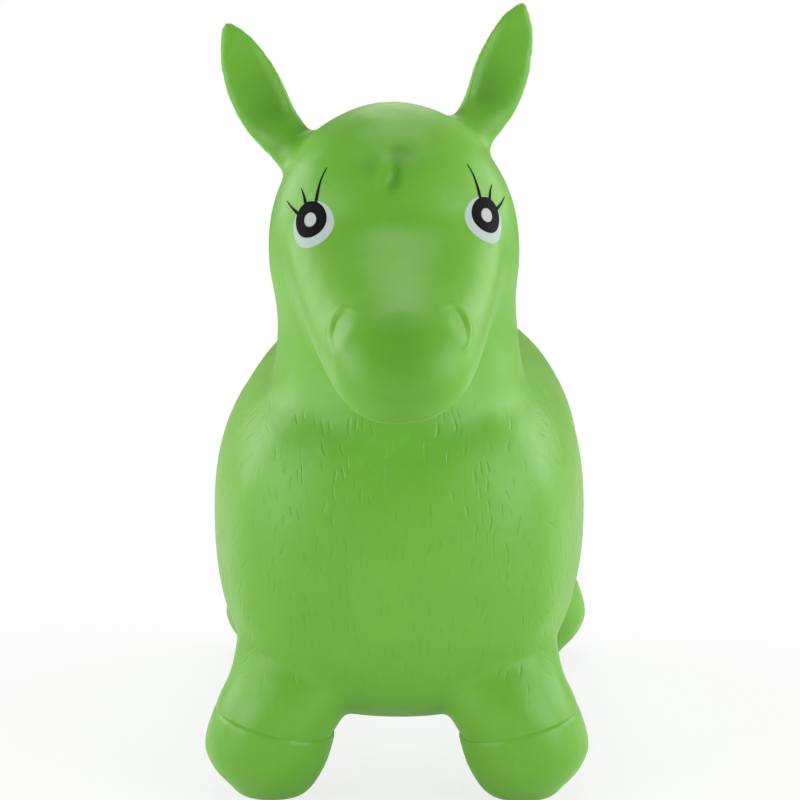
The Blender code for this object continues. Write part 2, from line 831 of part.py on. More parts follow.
def make_core(body):
    """The hollow inside the skin."""
    core = shifted("core", melded("inner", body, SKIN_VOXEL, SKIN_PASSES), -WALL)
    points = face_relief(read_points(core.data))
    write_points(core.data, valve_flat(points, BELLY_HEIGHT + WALL))
    return reduced(core, CORE_TRIANGLES)


def make_ears(outer, head):
    for side in EAR_SPLAY:
        matrix = pose_matrix() @ ear_matrix(side)
        up = matrix.to_3x3() @ Vector((0, 0, 1))
        root = matrix @ Vector((0, 0, EAR_CUT_SHARE * EAR_LENGTH))
        box = (EAR_WIDTH * EAR_BOX_SHARE, EAR_WIDTH * EAR_BOX_SHARE, EAR_LENGTH * 2)
        cut(head, beyond(f"{side}_ear_clear", root, up, box, -CLEARANCE / 2))
        ear = section(f"{side}_ear", outer)
        cut(ear, beyond(f"{side}_ear_reach", root, up, box), "INTERSECT")
        rows = ear_core_rows(side)
        inside = loft(f"{side}_ear_core", rows, (0, WALL), ear_matrix(side), 16, 2)
        moulded(cut(ear, inside))


def make_legs(outer, core, trunk):
    for name, sign, x, y in leg_places():
        cut(trunk, leg_box(f"{name}_leg_clear", sign, y, CLEARANCE))
        leg = section(f"{name}_leg", outer)
        cut(leg, leg_box(f"{name}_leg_reach", sign, y, 0), "INTERSECT")
        top, down = hoof_plane(sign, x, y)
        box = (HOOF_WIDTH * 2, HOOF_LENGTH * 2, HOOF_HEIGHT * 2)
        cut(leg, beyond(f"{name}_hoof_clear", top, -down, box, -CLEARANCE / 2))
        moulded(cut(leg, core))


def make_hooves():
    """The four hooves, whose parent stands on the line along which they bounce."""
    travel = bpy.data.objects.new("bounce_line", None)
    parts.objects.link(travel)
    for name, sign, x, y in leg_places():
        hoof = loft(f"{name}_hoof", hoof_rows(sign, x, y), (0, 0), around=24, steps=1)
        forms.objects.unlink(hoof)
        parts.objects.link(hoof)
        hoof.parent = travel
        top, up = hoof_plane(sign, x, y)
        box = (HOOF_WIDTH * 2, HOOF_LENGTH * 2, HOOF_HEIGHT * 2)
        cut(hoof, beyond(f"{name}_top_clear", top, up, box, -CLEARANCE / 2))
        rows = hoof_rows(sign, x, y, WALL)
        moulded(cut(hoof, loft(f"{name}_hoof_core", rows, (0, 0), around=12, steps=1)))


def make_skin(outer, core):
    """The trunk, neck, head, ears and legs, each cut from the skin."""
    reach = (TRUNK_LENGTH * 2,) * 3
    trunk = section("trunk_skin", outer)
    neck = section("neck_skin", outer)
    head = section("head_skin", outer)
    point, normal = neck_plane()
    cut(trunk, beyond("under_neck_reach", point, -normal, reach), "INTERSECT")
    cut(neck, beyond("over_neck_reach", point, normal, reach), "INTERSECT")
    point, normal = head_plane()
    cut(neck, beyond("under_head_reach", point, -normal, reach), "INTERSECT")
    cut(head, beyond("over_head_reach", point, normal, reach), "INTERSECT")
    make_legs(outer, core, trunk)
    make_ears(outer, head)
    for shell in (neck, head):
        moulded(cut(shell, core))
    return cut(trunk, core)


def make_reliefs(tree, outer):
    """The mane, forelock and tail, each seated on the skin."""
    seat = shifted("skin_seat", outer, CLEARANCE)
    for name, rows, comb, around in (
        ("mane", mane_rows(tree), (MANE_LOCKS, MANE_WAVE), 28),
        ("tail", tail_rows(tree), (TAIL_LOCKS, TAIL_WAVE), 24),
        ("forelock", forelock_rows(tree), None, 16),
    ):
        ridge = loft(name, rows, (0, 0), around=around, steps=3, comb=comb)
        forms.objects.unlink(ridge)
        parts.objects.link(ridge)
        moulded(cut(ridge, seat))


def surface_tree(obj):
    points = [v.co for v in obj.data.vertices]
    return BVHTree.FromPolygons(points, [tuple(p.vertices) for p in obj.data.polygons])


def eye_frame(tree, sign):
    """Where an eye sits on the head: its middle, and its outward, upward and raised axes."""
    pose = pose_matrix()
    aside = EYE_ASIDE + sign * EYE_SPACING / 2
    start = pose @ Vector((aside, -TRUNK_LENGTH, EYE_HEIGHTS["left" if sign > 0 else "right"]))
    middle, _, _, _ = tree.ray_cast(start, pose.to_3x3() @ Vector((0, 1, 0)))
    raised = Vector((0, 0, 0))
    for spot in circle((0, 0), EYE_DIAMETER / 2, ROUND_STEPS):
        near = middle + Vector((spot[0], 0, spot[1]))
        raised += tree.find_nearest(near)[1]
    raised.normalize()
    outward = Vector((0, 0, sign)).cross(raised).normalized()
    upward = raised.cross(outward) * sign
    return middle, outward, upward, raised


def circle(centre, radius, count):
    turns = np.linspace(0, 2 * math.pi, count, endpoint=False)
    return np.c_[centre[0] + radius * np.cos(turns), centre[1] + radius * np.sin(turns)]


def on_skin(tree, frame, spots):
    """Flat places at an eye, laid on the skin."""
    middle, outward, upward, raised = frame
    laid = []
    for u, v in spots:
        above = middle + outward * u + upward * v + raised * EYE_DIAMETER
        place, normal, _, _ = tree.ray_cast(above, -raised)
        laid.append(place + normal * PRINT_LIFT)
    return laid


def printed(name, tree, frame, lines, colour, closed=True, filled=False):
    """A thin printed shape: a sheet through lines of flat places, laid on the skin."""

    def build(work):
        rows = [[work.verts.new(p) for p in on_skin(tree, frame, line)] for line in lines]
        for first, second in zip(rows, rows[1:]):
            for k in range(len(first) if closed else len(first) - 1):
                j = (k + 1) % len(first)
                work.faces.new((first[k], first[j], second[j], second[k]))
        if filled:
            work.faces.new(rows[0])

    sheet = add_object(name, mesh_from(name, build), parts)
    if sheet.data.polygons[0].normal.dot(frame[3]) < 0:
        sheet.data.flip_normals()
    thick = sheet.modifiers.new("print", "SOLIDIFY")
    thick.thickness = PRINT_THICKNESS
    thick.offset = 1
    return finish(evaluated(sheet), colour, PRINT_ROUGHNESS)


def between(inner, outer, steps):
    return [inner + (outer - inner) * t for t in np.linspace(0, 1, steps)]


def make_eye(tree, side, sign):
    """The white, iris, glint and lashes printed at one eye."""
    frame = eye_frame(tree, sign)
    white = EYE_DIAMETER / 2
    iris = IRIS_DIAMETER / 2
    glint = GLINT_DIAMETER / 2
    iris_middle = np.array(EYE_SHIFT_SHARES) * white
    rim = circle((0, 0), white, ROUND_STEPS)
    hole = circle(iris_middle, iris + CLEARANCE, ROUND_STEPS)
    printed(f"{side}_eye_white", tree, frame, between(hole, rim, 4), WHITE)
    edge = circle(iris_middle, iris, ROUND_STEPS)
    pupil = circle(iris_middle, glint + CLEARANCE, ROUND_STEPS)
    printed(f"{side}_eye_iris", tree, frame, between(pupil, edge, 2), BLACK)
    spot = circle(iris_middle, glint, ROUND_STEPS // 2)
    printed(f"{side}_eye_glint", tree, frame, [spot], CREAM, filled=True)
    for lash, shares in LASH_SHARES.items():
        line = iris_middle + smooth_rows(shares, 3) * white
        run = np.gradient(line, axis=0)
        run /= np.linalg.norm(run, axis=1)[:, None]
        widths = LASH_WIDTH * np.linspace(1, LASH_TIP_SHARE, len(line))[:, None]
        across = np.c_[-run[:, 1], run[:, 0]] * widths / 2
        sides = [line - across, line + across]
        printed(f"{side}_lash_{lash}", tree, frame, sides, BLACK, closed=False)


def turned(name, profile, place, collection):
    """A turned piece: its profile of radius and height, swept round a vertical axis."""

    def build(work):
        verts = [work.verts.new((r, 0, z)) for r, z in profile]
        ends = zip(verts, verts[1:] + verts[:1]) if profile[0][0] else zip(verts, verts[1:])
        for pair in ends:
            work.edges.new(pair)

    mesh = mesh_from(name, build)
    piece = add_object(name, mesh, collection)
    piece.location = place
    screw = piece.modifiers.new("turn", "SCREW")
    screw.steps = screw.render_steps = ROUND_STEPS
    screw.use_merge_vertices = True
    screw.merge_threshold = CLEARANCE / 10
    return piece


def make_valve(tree, trunk):
    """The grommet in the belly and the plug that closes it."""
    ground = Vector((0, VALVE_Y, 0))
    belly = tree.ray_cast(ground, Vector((0, 0, 1)))[0]
    hole, flange, bore = VALVE_HOLE / 2, SEAT_FLANGE / 2, PLUG_STEM / 2 + CLEARANCE
    under, over = -2 * CLEARANCE, WALL + 2 * CLEARANCE
    neck = hole - CLEARANCE
    low, high = under - SEAT_THICKNESS, over + SEAT_THICKNESS
    drill = [(0, high), (hole, high), (hole, low), (0, low)]
    cut(trunk, as_cutter(turned("valve_drill", drill, belly, cutters)))
    moulded(trunk)
    seat = [
        (flange, high),
        (flange, over),
        (neck, over),
        (neck, under),
        (flange, under),
        (flange, low),
        (bore, low),
        (bore, high),
    ]
    finish(turned("valve_seat", seat, belly, parts), GREEN, SKIN_ROUGHNESS)
    head_top = low - CLEARANCE
    head_low = head_top - PLUG_HEAD_THICKNESS
    stem, head = PLUG_STEM / 2, PLUG_HEAD / 2
    tip = head_top + PLUG_STEM_LENGTH
    pitch = PLUG_STEM_LENGTH / PLUG_RIBS
    plug = [(0, tip)]
    for rib in range(PLUG_RIBS):
        top = tip - rib * pitch
        plug += [(stem - PLUG_RIB, top)]
        plug += [(stem, top - pitch * share) for share in PLUG_RIB_SHARES]
    plug += [(stem - PLUG_RIB, head_top), (head - PLUG_RIB, head_top), (head, head_top - PLUG_RIB)]
    plug += [(head, head_low + PLUG_RIB), (head - PLUG_RIB, head_low), (0, head_low)]
    finish(turned("air_plug", plug, belly, parts), CREAM, SKIN_ROUGHNESS)


def reset():
    for obj in list(bpy.data.objects):
        bpy.data.objects.remove(obj)


reset()
parts = new_collection("bouncy_horse")
forms = new_collection("forms", hidden=True)
cutters = new_collection("cutters", hidden=True)


def main():
    outer, body = make_outer()
    core = make_core(body)
    tree = surface_tree(outer)
    trunk = make_skin(outer, core)
    make_valve(tree, trunk)
    make_hooves()
    make_reliefs(tree, outer)
    make_eye(tree, "left", 1)
    make_eye(tree, "right", -1)


main()
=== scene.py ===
"""The looks of a blow-moulded bouncy horse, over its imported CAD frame.

Lengths are in metres, and angles in degrees where nothing else is said. The horse faces
-Y and stands on z = 0, with its left side at +X.
Its skin is one smooth form, made from the same sections as the CAD part but finer, and
parted only where the legs squeeze under a rider.
"""

import math
from contextlib import contextmanager

import bmesh
import bpy
import numpy as np
from mathutils import Matrix, Vector
from mathutils.bvhtree import BVHTree

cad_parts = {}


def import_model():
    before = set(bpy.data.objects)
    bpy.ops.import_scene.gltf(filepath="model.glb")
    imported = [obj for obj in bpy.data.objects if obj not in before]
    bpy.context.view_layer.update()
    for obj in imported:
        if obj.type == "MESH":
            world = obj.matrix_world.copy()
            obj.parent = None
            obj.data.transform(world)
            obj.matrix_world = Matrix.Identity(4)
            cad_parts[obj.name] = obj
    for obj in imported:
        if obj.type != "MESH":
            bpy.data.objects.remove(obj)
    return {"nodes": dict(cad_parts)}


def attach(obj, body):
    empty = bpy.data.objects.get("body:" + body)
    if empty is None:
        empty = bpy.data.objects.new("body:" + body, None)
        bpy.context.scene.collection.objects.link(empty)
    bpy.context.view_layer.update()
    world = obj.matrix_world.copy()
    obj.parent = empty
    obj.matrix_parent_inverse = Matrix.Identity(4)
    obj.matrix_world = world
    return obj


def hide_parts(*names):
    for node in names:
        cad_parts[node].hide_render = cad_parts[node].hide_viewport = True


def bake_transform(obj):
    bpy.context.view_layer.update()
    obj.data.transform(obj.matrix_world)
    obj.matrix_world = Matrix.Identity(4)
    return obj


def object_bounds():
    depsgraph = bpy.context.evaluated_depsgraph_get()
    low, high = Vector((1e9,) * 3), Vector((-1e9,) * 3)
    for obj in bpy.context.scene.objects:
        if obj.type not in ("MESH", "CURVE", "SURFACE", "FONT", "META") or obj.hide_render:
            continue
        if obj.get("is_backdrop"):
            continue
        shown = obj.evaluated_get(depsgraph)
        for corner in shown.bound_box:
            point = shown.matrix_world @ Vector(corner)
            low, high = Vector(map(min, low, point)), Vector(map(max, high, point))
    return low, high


# Trunk
TRUNK_LENGTH = 0.520
TRUNK_WIDTH = 0.270
BACK_HEIGHT = 0.318
BELLY_HEIGHT = 0.052
CHEST_REACH = 0.235
CHEST_BULGE = 0.004
RUMP_BULGE = 0.009

# Neck and head
CROWN_HEIGHT = 0.4835
CROWN_BULGE = 0.020
NECK_SETBACK = 0.105
NECK_DEPTH = 0.180
HEAD_WIDTH = 0.171
HEAD_LENGTH = 0.160
MUZZLE_BULGE = 0.032
HEAD_TURN = 2.5
HEAD_LEAN = 2.3

# Ears
EAR_LENGTH = 0.098
EAR_WIDTH = 0.042
EAR_THICKNESS = 0.019
EAR_HOLLOW = 0.0048
EAR_TIP_BULGE = 0.005
EAR_TILT = 8.0

# Legs and hooves
HOOF_HEIGHT = 0.058
HOOF_WIDTH = 0.091
HOOF_LENGTH = 0.094
HOOF_TILT = 14.0
HOOF_STEP = 0.0006
LEG_SLOPE = 30.0
LEG_BULGE = 0.010
LEG_GAP = 0.072
FRONT_HOOF_SPREAD = 0.184
REAR_HOOF_SPREAD = 0.206
FRONT_HOOF_Y = -0.172
REAR_HOOF_Y = 0.218
LEG_MARGIN = 0.008

# Mane, forelock and tail
MANE_WIDTH = 0.040
MANE_HEIGHT = 0.009
MANE_WAVE = 0.0022
FORELOCK_HEIGHT = 0.0035
TAIL_WIDTH = 0.044
TAIL_HEIGHT = 0.011
TAIL_WAVE = 0.0016

# Derived places
HEAD_Y = NECK_SETBACK - CHEST_REACH
TRUNK_DEPTH = BACK_HEIGHT - BELLY_HEIGHT
# Over this height above its root the neck takes up the head's turn.
NECK_TURN_REACH = NECK_DEPTH / 3
# Each side's sign along X.
SIDES = {"left": 1, "right": -1}

# Each row of the trunk: back from the chest, top, bottom, half width.
TRUNK_SHARES = (
    (0.004, 0.635, 0.365, 0.280),
    (0.014, 0.722, 0.280, 0.450),
    (0.032, 0.812, 0.186, 0.625),
    (0.066, 0.894, 0.080, 0.788),
    (0.135, 0.962, 0.008, 0.905),
    (0.260, 1.006, -0.002, 0.982),
    (0.400, 1.000, 0.000, 0.996),
    (0.548, 0.954, 0.000, 1.000),
    (0.683, 0.943, 0.008, 0.996),
    (0.798, 0.943, 0.042, 0.927),
    (0.885, 0.894, 0.105, 0.800),
    (0.948, 0.800, 0.205, 0.610),
    (0.980, 0.695, 0.315, 0.400),
)
# Each row of the neck: height, reach forward, reach back, half width.
NECK_SHARES = (
    (0.369, 0.500, 0.722, 1.287),
    (0.492, 0.528, 0.667, 1.193),
    (0.615, 0.472, 0.556, 1.030),
    (0.708, 0.428, 0.456, 0.982),
    (0.790, 0.428, 0.400, 1.029),
    (0.862, 0.406, 0.356, 0.980),
    (0.923, 0.350, 0.306, 0.825),
    (0.968, 0.250, 0.230, 0.620),
)
# Each row of the head: top's reach and height, jaw's reach and height, half width, egg.
HEAD_SHARES = (
    (-0.040, 0.950, 0.330, 0.646, 0.900, 0.10),
    (0.190, 0.932, 0.500, 0.615, 0.860, 0.14),
    (0.390, 0.876, 0.630, 0.599, 0.780, 0.14),
    (0.550, 0.828, 0.730, 0.590, 0.705, 0.12),
    (0.700, 0.790, 0.810, 0.585, 0.640, 0.08),
    (0.840, 0.765, 0.880, 0.588, 0.585, 0.04),
)
# Each row of an ear: along, half width, half thickness, shift towards the crown.
EAR_SHARES = (
    (-0.160, 0.860, 1.200, 0.500),
    (0.000, 0.900, 1.050, 0.300),
    (0.200, 0.980, 0.920, 0.050),
    (0.480, 1.020, 0.800, 0.000),
    (0.720, 0.820, 0.660, 0.000),
    (0.880, 0.540, 0.500, 0.000),
    (0.955, 0.310, 0.360, 0.000),
)
# Each row of a hoof: height, outward shift, half width, half length.
HOOF_SHARES = (
    (0.000, -0.080, 0.420, 0.400),
    (0.040, -0.080, 0.520, 0.500),
    (0.164, -0.085, 0.660, 0.665),
    (0.310, -0.050, 0.805, 0.815),
    (0.460, -0.035, 0.910, 0.912),
    (0.620, -0.030, 0.975, 0.975),
    (0.810, -0.080, 0.995, 0.990),
    (1.000, -0.150, 0.985, 1.000),
    (1.400, -0.360, 1.020, 1.000),
)
# Each row of a leg: height, outward shift, half width, half length, shift forward.
LEG_SHARES = (
    (0.550, 0.000, 0.860, 0.900, 0.000),
    (0.860, -0.110, 0.980, 0.970, 0.000),
    (1.200, -0.300, 1.050, 0.970, -0.020),
    (1.520, -0.500, 1.060, 0.920, -0.080),
    (1.810, -0.600, 1.080, 0.880, -0.180),
    (2.400, -0.720, 1.080, 0.860, -0.300),
)
# Each row of the mane: along, half width, rise over the skin.
MANE_SHARES = (
    (0.000, 0.300, 0.30),
    (0.100, 0.700, 0.80),
    (0.300, 1.000, 1.00),
    (0.550, 0.960, 1.00),
    (0.800, 0.780, 0.80),
    (1.000, 0.300, 0.20),
)
# The line of the mane from poll to withers: back share of the neck's depth, height share.
MANE_LINE_SHARES = (
    (0.170, 0.982),
    (0.250, 0.960),
    (0.340, 0.915),
    (0.400, 0.830),
    (0.500, 0.735),
    (0.680, 0.665),
)
# Each row of the tail: along, half width, rise over the rump.
TAIL_SHARES = (
    (0.000, 0.420, 0.20),
    (0.120, 0.620, 0.90),
    (0.350, 0.820, 1.00),
    (0.650, 1.000, 0.95),
    (0.880, 0.640, 0.60),
    (1.000, 0.220, 0.20),
)
# The line of the tail down the rump: back share of the trunk's length, height share.
TAIL_LINE_SHARES = (
    (0.942, 0.795),
    (0.984, 0.700),
    (1.002, 0.560),
    (1.006, 0.410),
    (0.998, 0.290),
    (0.980, 0.210),
)
# Where each ear roots on the head: sideways, up and back, and its splay in degrees.
EAR_ROOT_SHARES = {"left": 0.770, "right": 0.890}
EAR_HEIGHT_SHARES = {"left": 0.954, "right": 0.945}
EAR_BACK_SHARE = 0.09
EAR_SPLAY = {"left": 20.0, "right": 21.5}
# Where along an ear its hollow sinks and rises again.
EAR_BOWL_SHARES = ((0.02, 0.30), (0.70, 0.96))
# The slanted plane at the neck's root: reach and height of its back end and its front end.
NECK_ROOT_SHARES = ((0.611, 0.990), (0.583, 0.545))
# How far down its slant a leg's cut starts, as a share of the gap between the legs.
LEG_ROOT_SHARE = 0.25

# Squareness of the cross sections
BOXY = 2.4
SQUARED = 2.2
ROUND = 2.0

# Locks of the mane and the tail, and how often and how far they sway, in radians
MANE_LOCKS = 5
TAIL_LOCKS = 4
LOCK_SWAYS = 3
LOCK_TURN = 1.5

# Wall and valve seat
WALL = 0.0024
SEAT_FLANGE = 0.0240
VALVE_Y = 0.030
VALVE_FLAT_SHARES = (0.80, 1.30)

# Fineness of the looks: points round a section, steps between its rows, voxels and smoothing.
BODY_POINTS = 96
LIMB_POINTS = 64
HOOF_POINTS = 72
TAIL_POINTS = 56
EYE_POINTS = 64
SPAN_STEPS = 6
FINE_STEPS = 8
# The rings of a dome, in degrees from its rim.
DOME_TURNS = (24, 46, 66, 82)
BARE_VOXEL = 0.0060
BARE_PASSES = 6
SKIN_VOXEL = 0.0020
SKIN_PASSES = 34
RIDGE_PASSES = 8
HOOF_VOXEL = 0.0018
HOOF_PASSES = 40
EAR_PASSES = 40
BROW_PASSES = 90
CHEST_PASSES = 120
RELAX_LEVELS = 8
# Past these, ahead and up the head, the skin is split finer.
FINE_AHEAD_SHARE = 0.55
FINE_HEIGHT_SHARE = 0.56
# Where the smoothing of the brow, the crown and the chest fades in and out.
BROW_AHEAD_SHARES = (0.05, 0.35)
BROW_HEIGHT_SHARES = (0.56, 0.64)
CROWN_AHEAD_SHARES = (-0.22, 0.02)
CROWN_FADE_SHARES = ((0.88, 0.94), (1.00, 1.03))
CHEST_FADE_SHARES = ((0.35, 0.55), (0.95, 1.15))
# How far back from the chest's front its smoothing fades out.
CHEST_FADE = (0.020, 0.110)

# Eyes
EYE_DIAMETER = 0.0338
IRIS_DIAMETER = 0.0258
GLINT_DIAMETER = 0.0098
# Each round print of an eye, from the skin up: name, diameter, rings.
EYE_PRINTS = (("white", EYE_DIAMETER, 14), ("iris", IRIS_DIAMETER, 10), ("glint", GLINT_DIAMETER, 5))
EYE_SPACING = 0.1185
EYE_ASIDE = 0.0030
EYE_HEIGHTS = {"left": 0.4085, "right": 0.4110}
# Where the iris and the glint sit in the white, in shares of its radius, out and up.
EYE_SHIFT_SHARES = (0.140, 0.200)
# The first print's height over the skin, a print's thickness, and the pinhole at its middle.
PRINT_LIFT = 0.00006
PRINT_STEP = 0.00010
PRINT_CORE = 0.00006
PRINT_EDGE_ANGLE = 50.0
LASH_WIDTH = 0.0026
LASH_TIP_SHARE = 0.20
# The lashes lie on the iris's level, one print up.
LASH_LEVEL = 1
# The line of each lash from the middle of the iris, in shares of the white's radius, out and up.
LASH_SHARES = {
    "inner": ((-0.12, 0.70), (-0.11, 1.25), (-0.12, 1.72), (-0.20, 2.22)),
    "middle": ((0.37, 0.62), (0.58, 0.98), (0.80, 1.24)),
    "outer": ((0.70, 0.20), (1.10, 0.42), (1.56, 0.72)),
}

# Face. The first three say where its relief fades in, ahead and up, and out again above.
MUZZLE_REACH_SHARES = (0.50, 0.72)
FACE_FADE_SHARES = ((0.54, 0.57), (0.77, 0.81))
GROOVE_FADE_SHARES = (0.735, 0.775)
GROOVE_DEPTH = 0.0020
GROOVE_WIDTH = 0.0180
MOUTH_HEIGHT = 0.3090
MOUTH_DEPTH = 0.0020
MOUTH_WIDTH = 0.0045
MOUTH_REACH = 0.0240
MOUTH_FADE_SHARES = (0.40, 1.00)
MOUTH_CURVE = 0.30
NOSTRIL_HEIGHT = 0.3495
NOSTRIL_SPACING = 0.0700
NOSTRIL_ASIDE = -0.0010
NOSTRIL_WIDTH = 0.0220
NOSTRIL_TALL = 0.0280
NOSTRIL_LEAN = 0.20
NOSTRIL_DEPTH = 0.0012
NOSTRIL_RIM = 0.0008
# A nostril's outer wall, how its floor sinks upwards and outwards, and its raised rim.
NOSTRIL_WALL_SHARES = (0.80, 1.00)
NOSTRIL_RISE_SHARES = (-1.00, 0.40)
NOSTRIL_SLOPE_SHARES = (-0.70, 0.80)
NOSTRIL_RIM_SHARES = (1.10, 0.12)
NOSTRIL_RIM_FADE_SHARES = (0.00, 0.60)

# Swirl of the forelock: where it fades in, ahead and up.
SWIRL_AHEAD_SHARES = (0.00, 0.20)
SWIRL_FADE_SHARES = (0.86, 0.89)
# How much steeper the swirl's hollows are above their deepest place, and below it.
SWIRL_STEEPNESS = (1.2, 0.85)
# Each hollow, or swelling where the depth is below 0: aside, height, half width, half height, depth.
SWIRL_SHARES = (
    (-0.020, 0.985, 0.100, 0.018, -0.30),
    (0.040, 0.9455, 0.066, 0.016, 0.26),
    (-0.085, 0.932, 0.045, 0.015, 0.12),
    (-0.022, 0.932, 0.026, 0.016, -0.20),
    (-0.040, 0.914, 0.022, 0.012, -0.16),
    (0.016, 0.920, 0.020, 0.016, 0.32),
    (0.006, 0.911, 0.018, 0.012, 0.30),
    (-0.016, 0.904, 0.014, 0.010, 0.24),
)

# Hollows of the ears, and the shade painted darker into the hollows of the face, the brow and the ears
EAR_HOLLOW_SHARE = 0.84
EAR_DEEPEST_SHARE = 0.50
EAR_PAINTED_SHADE_SHARES = (0.15, 0.80)
HOLLOW_DEPTH = 0.0040
HOLLOW_PAINTED_SHADE = 0.75
BROW_PAINTED_SHADE = 4.2

# Moulded hair: how many fit in a metre, each set's shift, and how the hairs stray and lean.
HAIR_SCALE = (200.0, 78.0, 1.0)
HAIR_SEEDS = {"front": 3.1, "side": 7.3, "top": 1.7}
HAIR_WANDER = 0.012
WANDER_SCALE = 45.0
WANDER_DETAIL = 1.0
HAIR_LEAN = 35.0
# Share of shade painted into each hair's groove.
HAIR_PAINTED_SHADE = 0.16
HAIR_DEPTH = 0.00026
# Where a hair's groove fades out, across and along its cell, and which cells hold one.
HAIR_ACROSS_SHARES = (0.02, 0.27)
HAIR_ALONG_SHARES = (0.12, 0.46)
HAIR_CHANCE_SHARES = (0.44, 0.88)
# How far the skin faces sideways or up where the hair lies as on the flank or the back.
HAIR_SIDE_SHARES = (0.50, 0.85)
HAIR_TOP_SHARES = (0.55, 0.85)
# Where no hair lies: on the face, ahead and up, on the crown, and hardly any down low.
BARE_AHEAD_SHARES = (0.02, 0.30)
BARE_HEIGHT_SHARES = (0.56, 0.62)
BARE_CROWN_SHARES = (0.90, 0.95)
BARE_LOW_SHARES = (1.30, 2.20)
BARE_LOW_SHARE = 0.80

# Colours
GREEN = (0.131, 0.400, 0.026, 1.0)
GREEN_WARM = (0.144, 0.420, 0.028, 1.0)
GREEN_PALE = (0.200, 0.480, 0.070, 1.0)
# The colour of the shade painted into hair grooves and hollows.
GREEN_PAINTED_SHADE = (0.080, 0.270, 0.015, 1.0)
SHEEN_TINT = (0.80, 1.0, 0.50, 1.0)
WHITE = (0.470, 0.570, 0.530, 1.0)
BLACK = (0.003, 0.003, 0.004, 1.0)
LIGHT = (0.500, 0.530, 0.525, 1.0)
CREAM = (0.680, 0.680, 0.640, 1.0)
CREAM_DARK = (0.600, 0.600, 0.560, 1.0)
FLOOR_COLOUR = (0.90, 0.90, 0.90, 1.0)

# Surfaces: textures have a scale in features to the metre, and shares between which they fade.
PLAIN_DETAIL = 2.0
FINE_DETAIL = 3.0
SKIN_ROUGHNESS = 0.42
SKIN_ROUGHNESSES = (0.38, 0.47)
ROUGHNESS_SHARES = (0.30, 0.70)
SHEEN = 0.27
SHEEN_ROUGHNESS = 0.45
CLOUD_SCALE = 14.0
CLOUD_SHARES = (0.35, 0.65)
FLECK_SCALE = 90.0
FLECK_SHARES = (0.55, 0.75)
FLECK_SHADE = 0.15
SWELL_SCALE = 38.0
SWELL_DEPTH = 0.0012
GRAIN_SCALE = 900.0
GRAIN_DEPTH = 0.00002
INK_ROUGHNESS = 0.50
INK_SPECULAR = 0.06
INK_WEAR_SCALE = 700.0
INK_WEAR_SHARES = (0.45, 0.80)
INK_GRAIN_SCALE = 500.0
# Worn ink keeps this share of its colour, and is lifted a little.
INK_WORN_SHARE = 0.9
INK_WORN_LIFT = 0.004
PLUG_ROUGHNESS = 0.45
PLUG_CLOUD_SCALE = 260.0
PLUG_CLOUD_SHARES = (0.30, 0.70)
PLUG_GRAIN_SCALE = 1500.0
FLOOR_ROUGHNESS = 0.9
FLOOR_SPECULAR = 0.1

# Camera, light and floor
IMAGE_PIXELS = 800
CAMERA_FOCAL_PIXELS = 3497.0
TARGET_PIXEL = (401.0, 376.2)
TARGET_HEIGHT = 0.270
CAMERA_DISTANCE = 2.600
CAMERA_ELEVATION = 10.0
CAMERA_AZIMUTH = 1.0
WORLD_STRENGTH = 0.04
FLOOR_SIZE = 12.0
FLOOR_FADE = (0.26, 0.60)
FLOOR_GLOW = 0.78
# Each lamp: name, place, size, power.
LAMPS = (
    ("back_left_lamp", (-1.9, 0.6, 1.0), (2.1, 1.5), 24.7),
    ("back_right_lamp", (1.9, 0.6, 1.0), (2.1, 1.5), 25.6),
    ("front_left_lamp", (-1.9, -1.4, 0.8), (2.1, 1.5), 29.5),
    ("front_right_lamp", (1.9, -1.4, 0.8), (2.1, 1.5), 32.4),
    ("top_lamp", (0.0, 0.0, 2.4), (1.3, 1.7), 14.0),
    ("top_back_lamp", (0.0, 1.5, 1.8), (1.3, 1.7), 11.0),
    ("front_lamp", (0.0, -2.4, 0.15), (1.3, 1.7), 3.2),
)


def smooth_rows(rows, steps=SPAN_STEPS):
    """The rows read along a smooth curve that passes through each of them."""
    rows = np.array(list(rows), float)
    gaps = np.linalg.norm(np.diff(rows[:, :3], axis=0), axis=1)
    along = np.concatenate([[0.0], np.cumsum(gaps)])
    slopes = np.gradient(rows, along, axis=0)
    read = []
    for i, gap in enumerate(gaps):
        for t in np.arange(steps) / steps:
            read.append(
                (1 + 2 * t) * (1 - t) ** 2 * rows[i]
                + t * (1 - t) ** 2 * gap * slopes[i]
                + t * t * (3 - 2 * t) * rows[i + 1]
                - t * t * (1 - t) * gap * slopes[i + 1]
            )
    return np.array(read + [rows[-1]])


def smoothstep(values, low, high):
    t = np.clip((np.asarray(values) - low) / (high - low), 0, 1)
    return t * t * (3 - 2 * t)


def band(values, rise, fall):
    """1 between a smooth rise and a smooth fall, and 0 outside them."""
    return smoothstep(values, *rise) * (1 - smoothstep(values, *fall))


def bump(distance, width):
    return np.exp(-((distance / width) ** 2))


def neck_plane():
    """The slanted plane at the neck's root: a point on it, and its normal, up and forward."""
    (back, high), (front, low) = NECK_ROOT_SHARES
    start = Vector((0, HEAD_Y + back * NECK_DEPTH, high * BACK_HEIGHT))
    end = Vector((0, HEAD_Y - front * NECK_DEPTH, low * CROWN_HEIGHT))
    run = end - start
    return (start + end) / 2, Vector((0, run.z, -run.y)).normalized()


def pose_matrix(weight=1.0):
    """The head's turn and lean about the root of the neck, in full or in part."""
    pivot = Vector((0, HEAD_Y, BACK_HEIGHT))
    turn = Matrix.Rotation(math.radians(HEAD_TURN * weight), 4, "Z")
    lean = Matrix.Rotation(math.radians(-HEAD_LEAN * weight), 4, "Y")
    return Matrix.Translation(pivot) @ turn @ lean @ Matrix.Translation(-pivot)


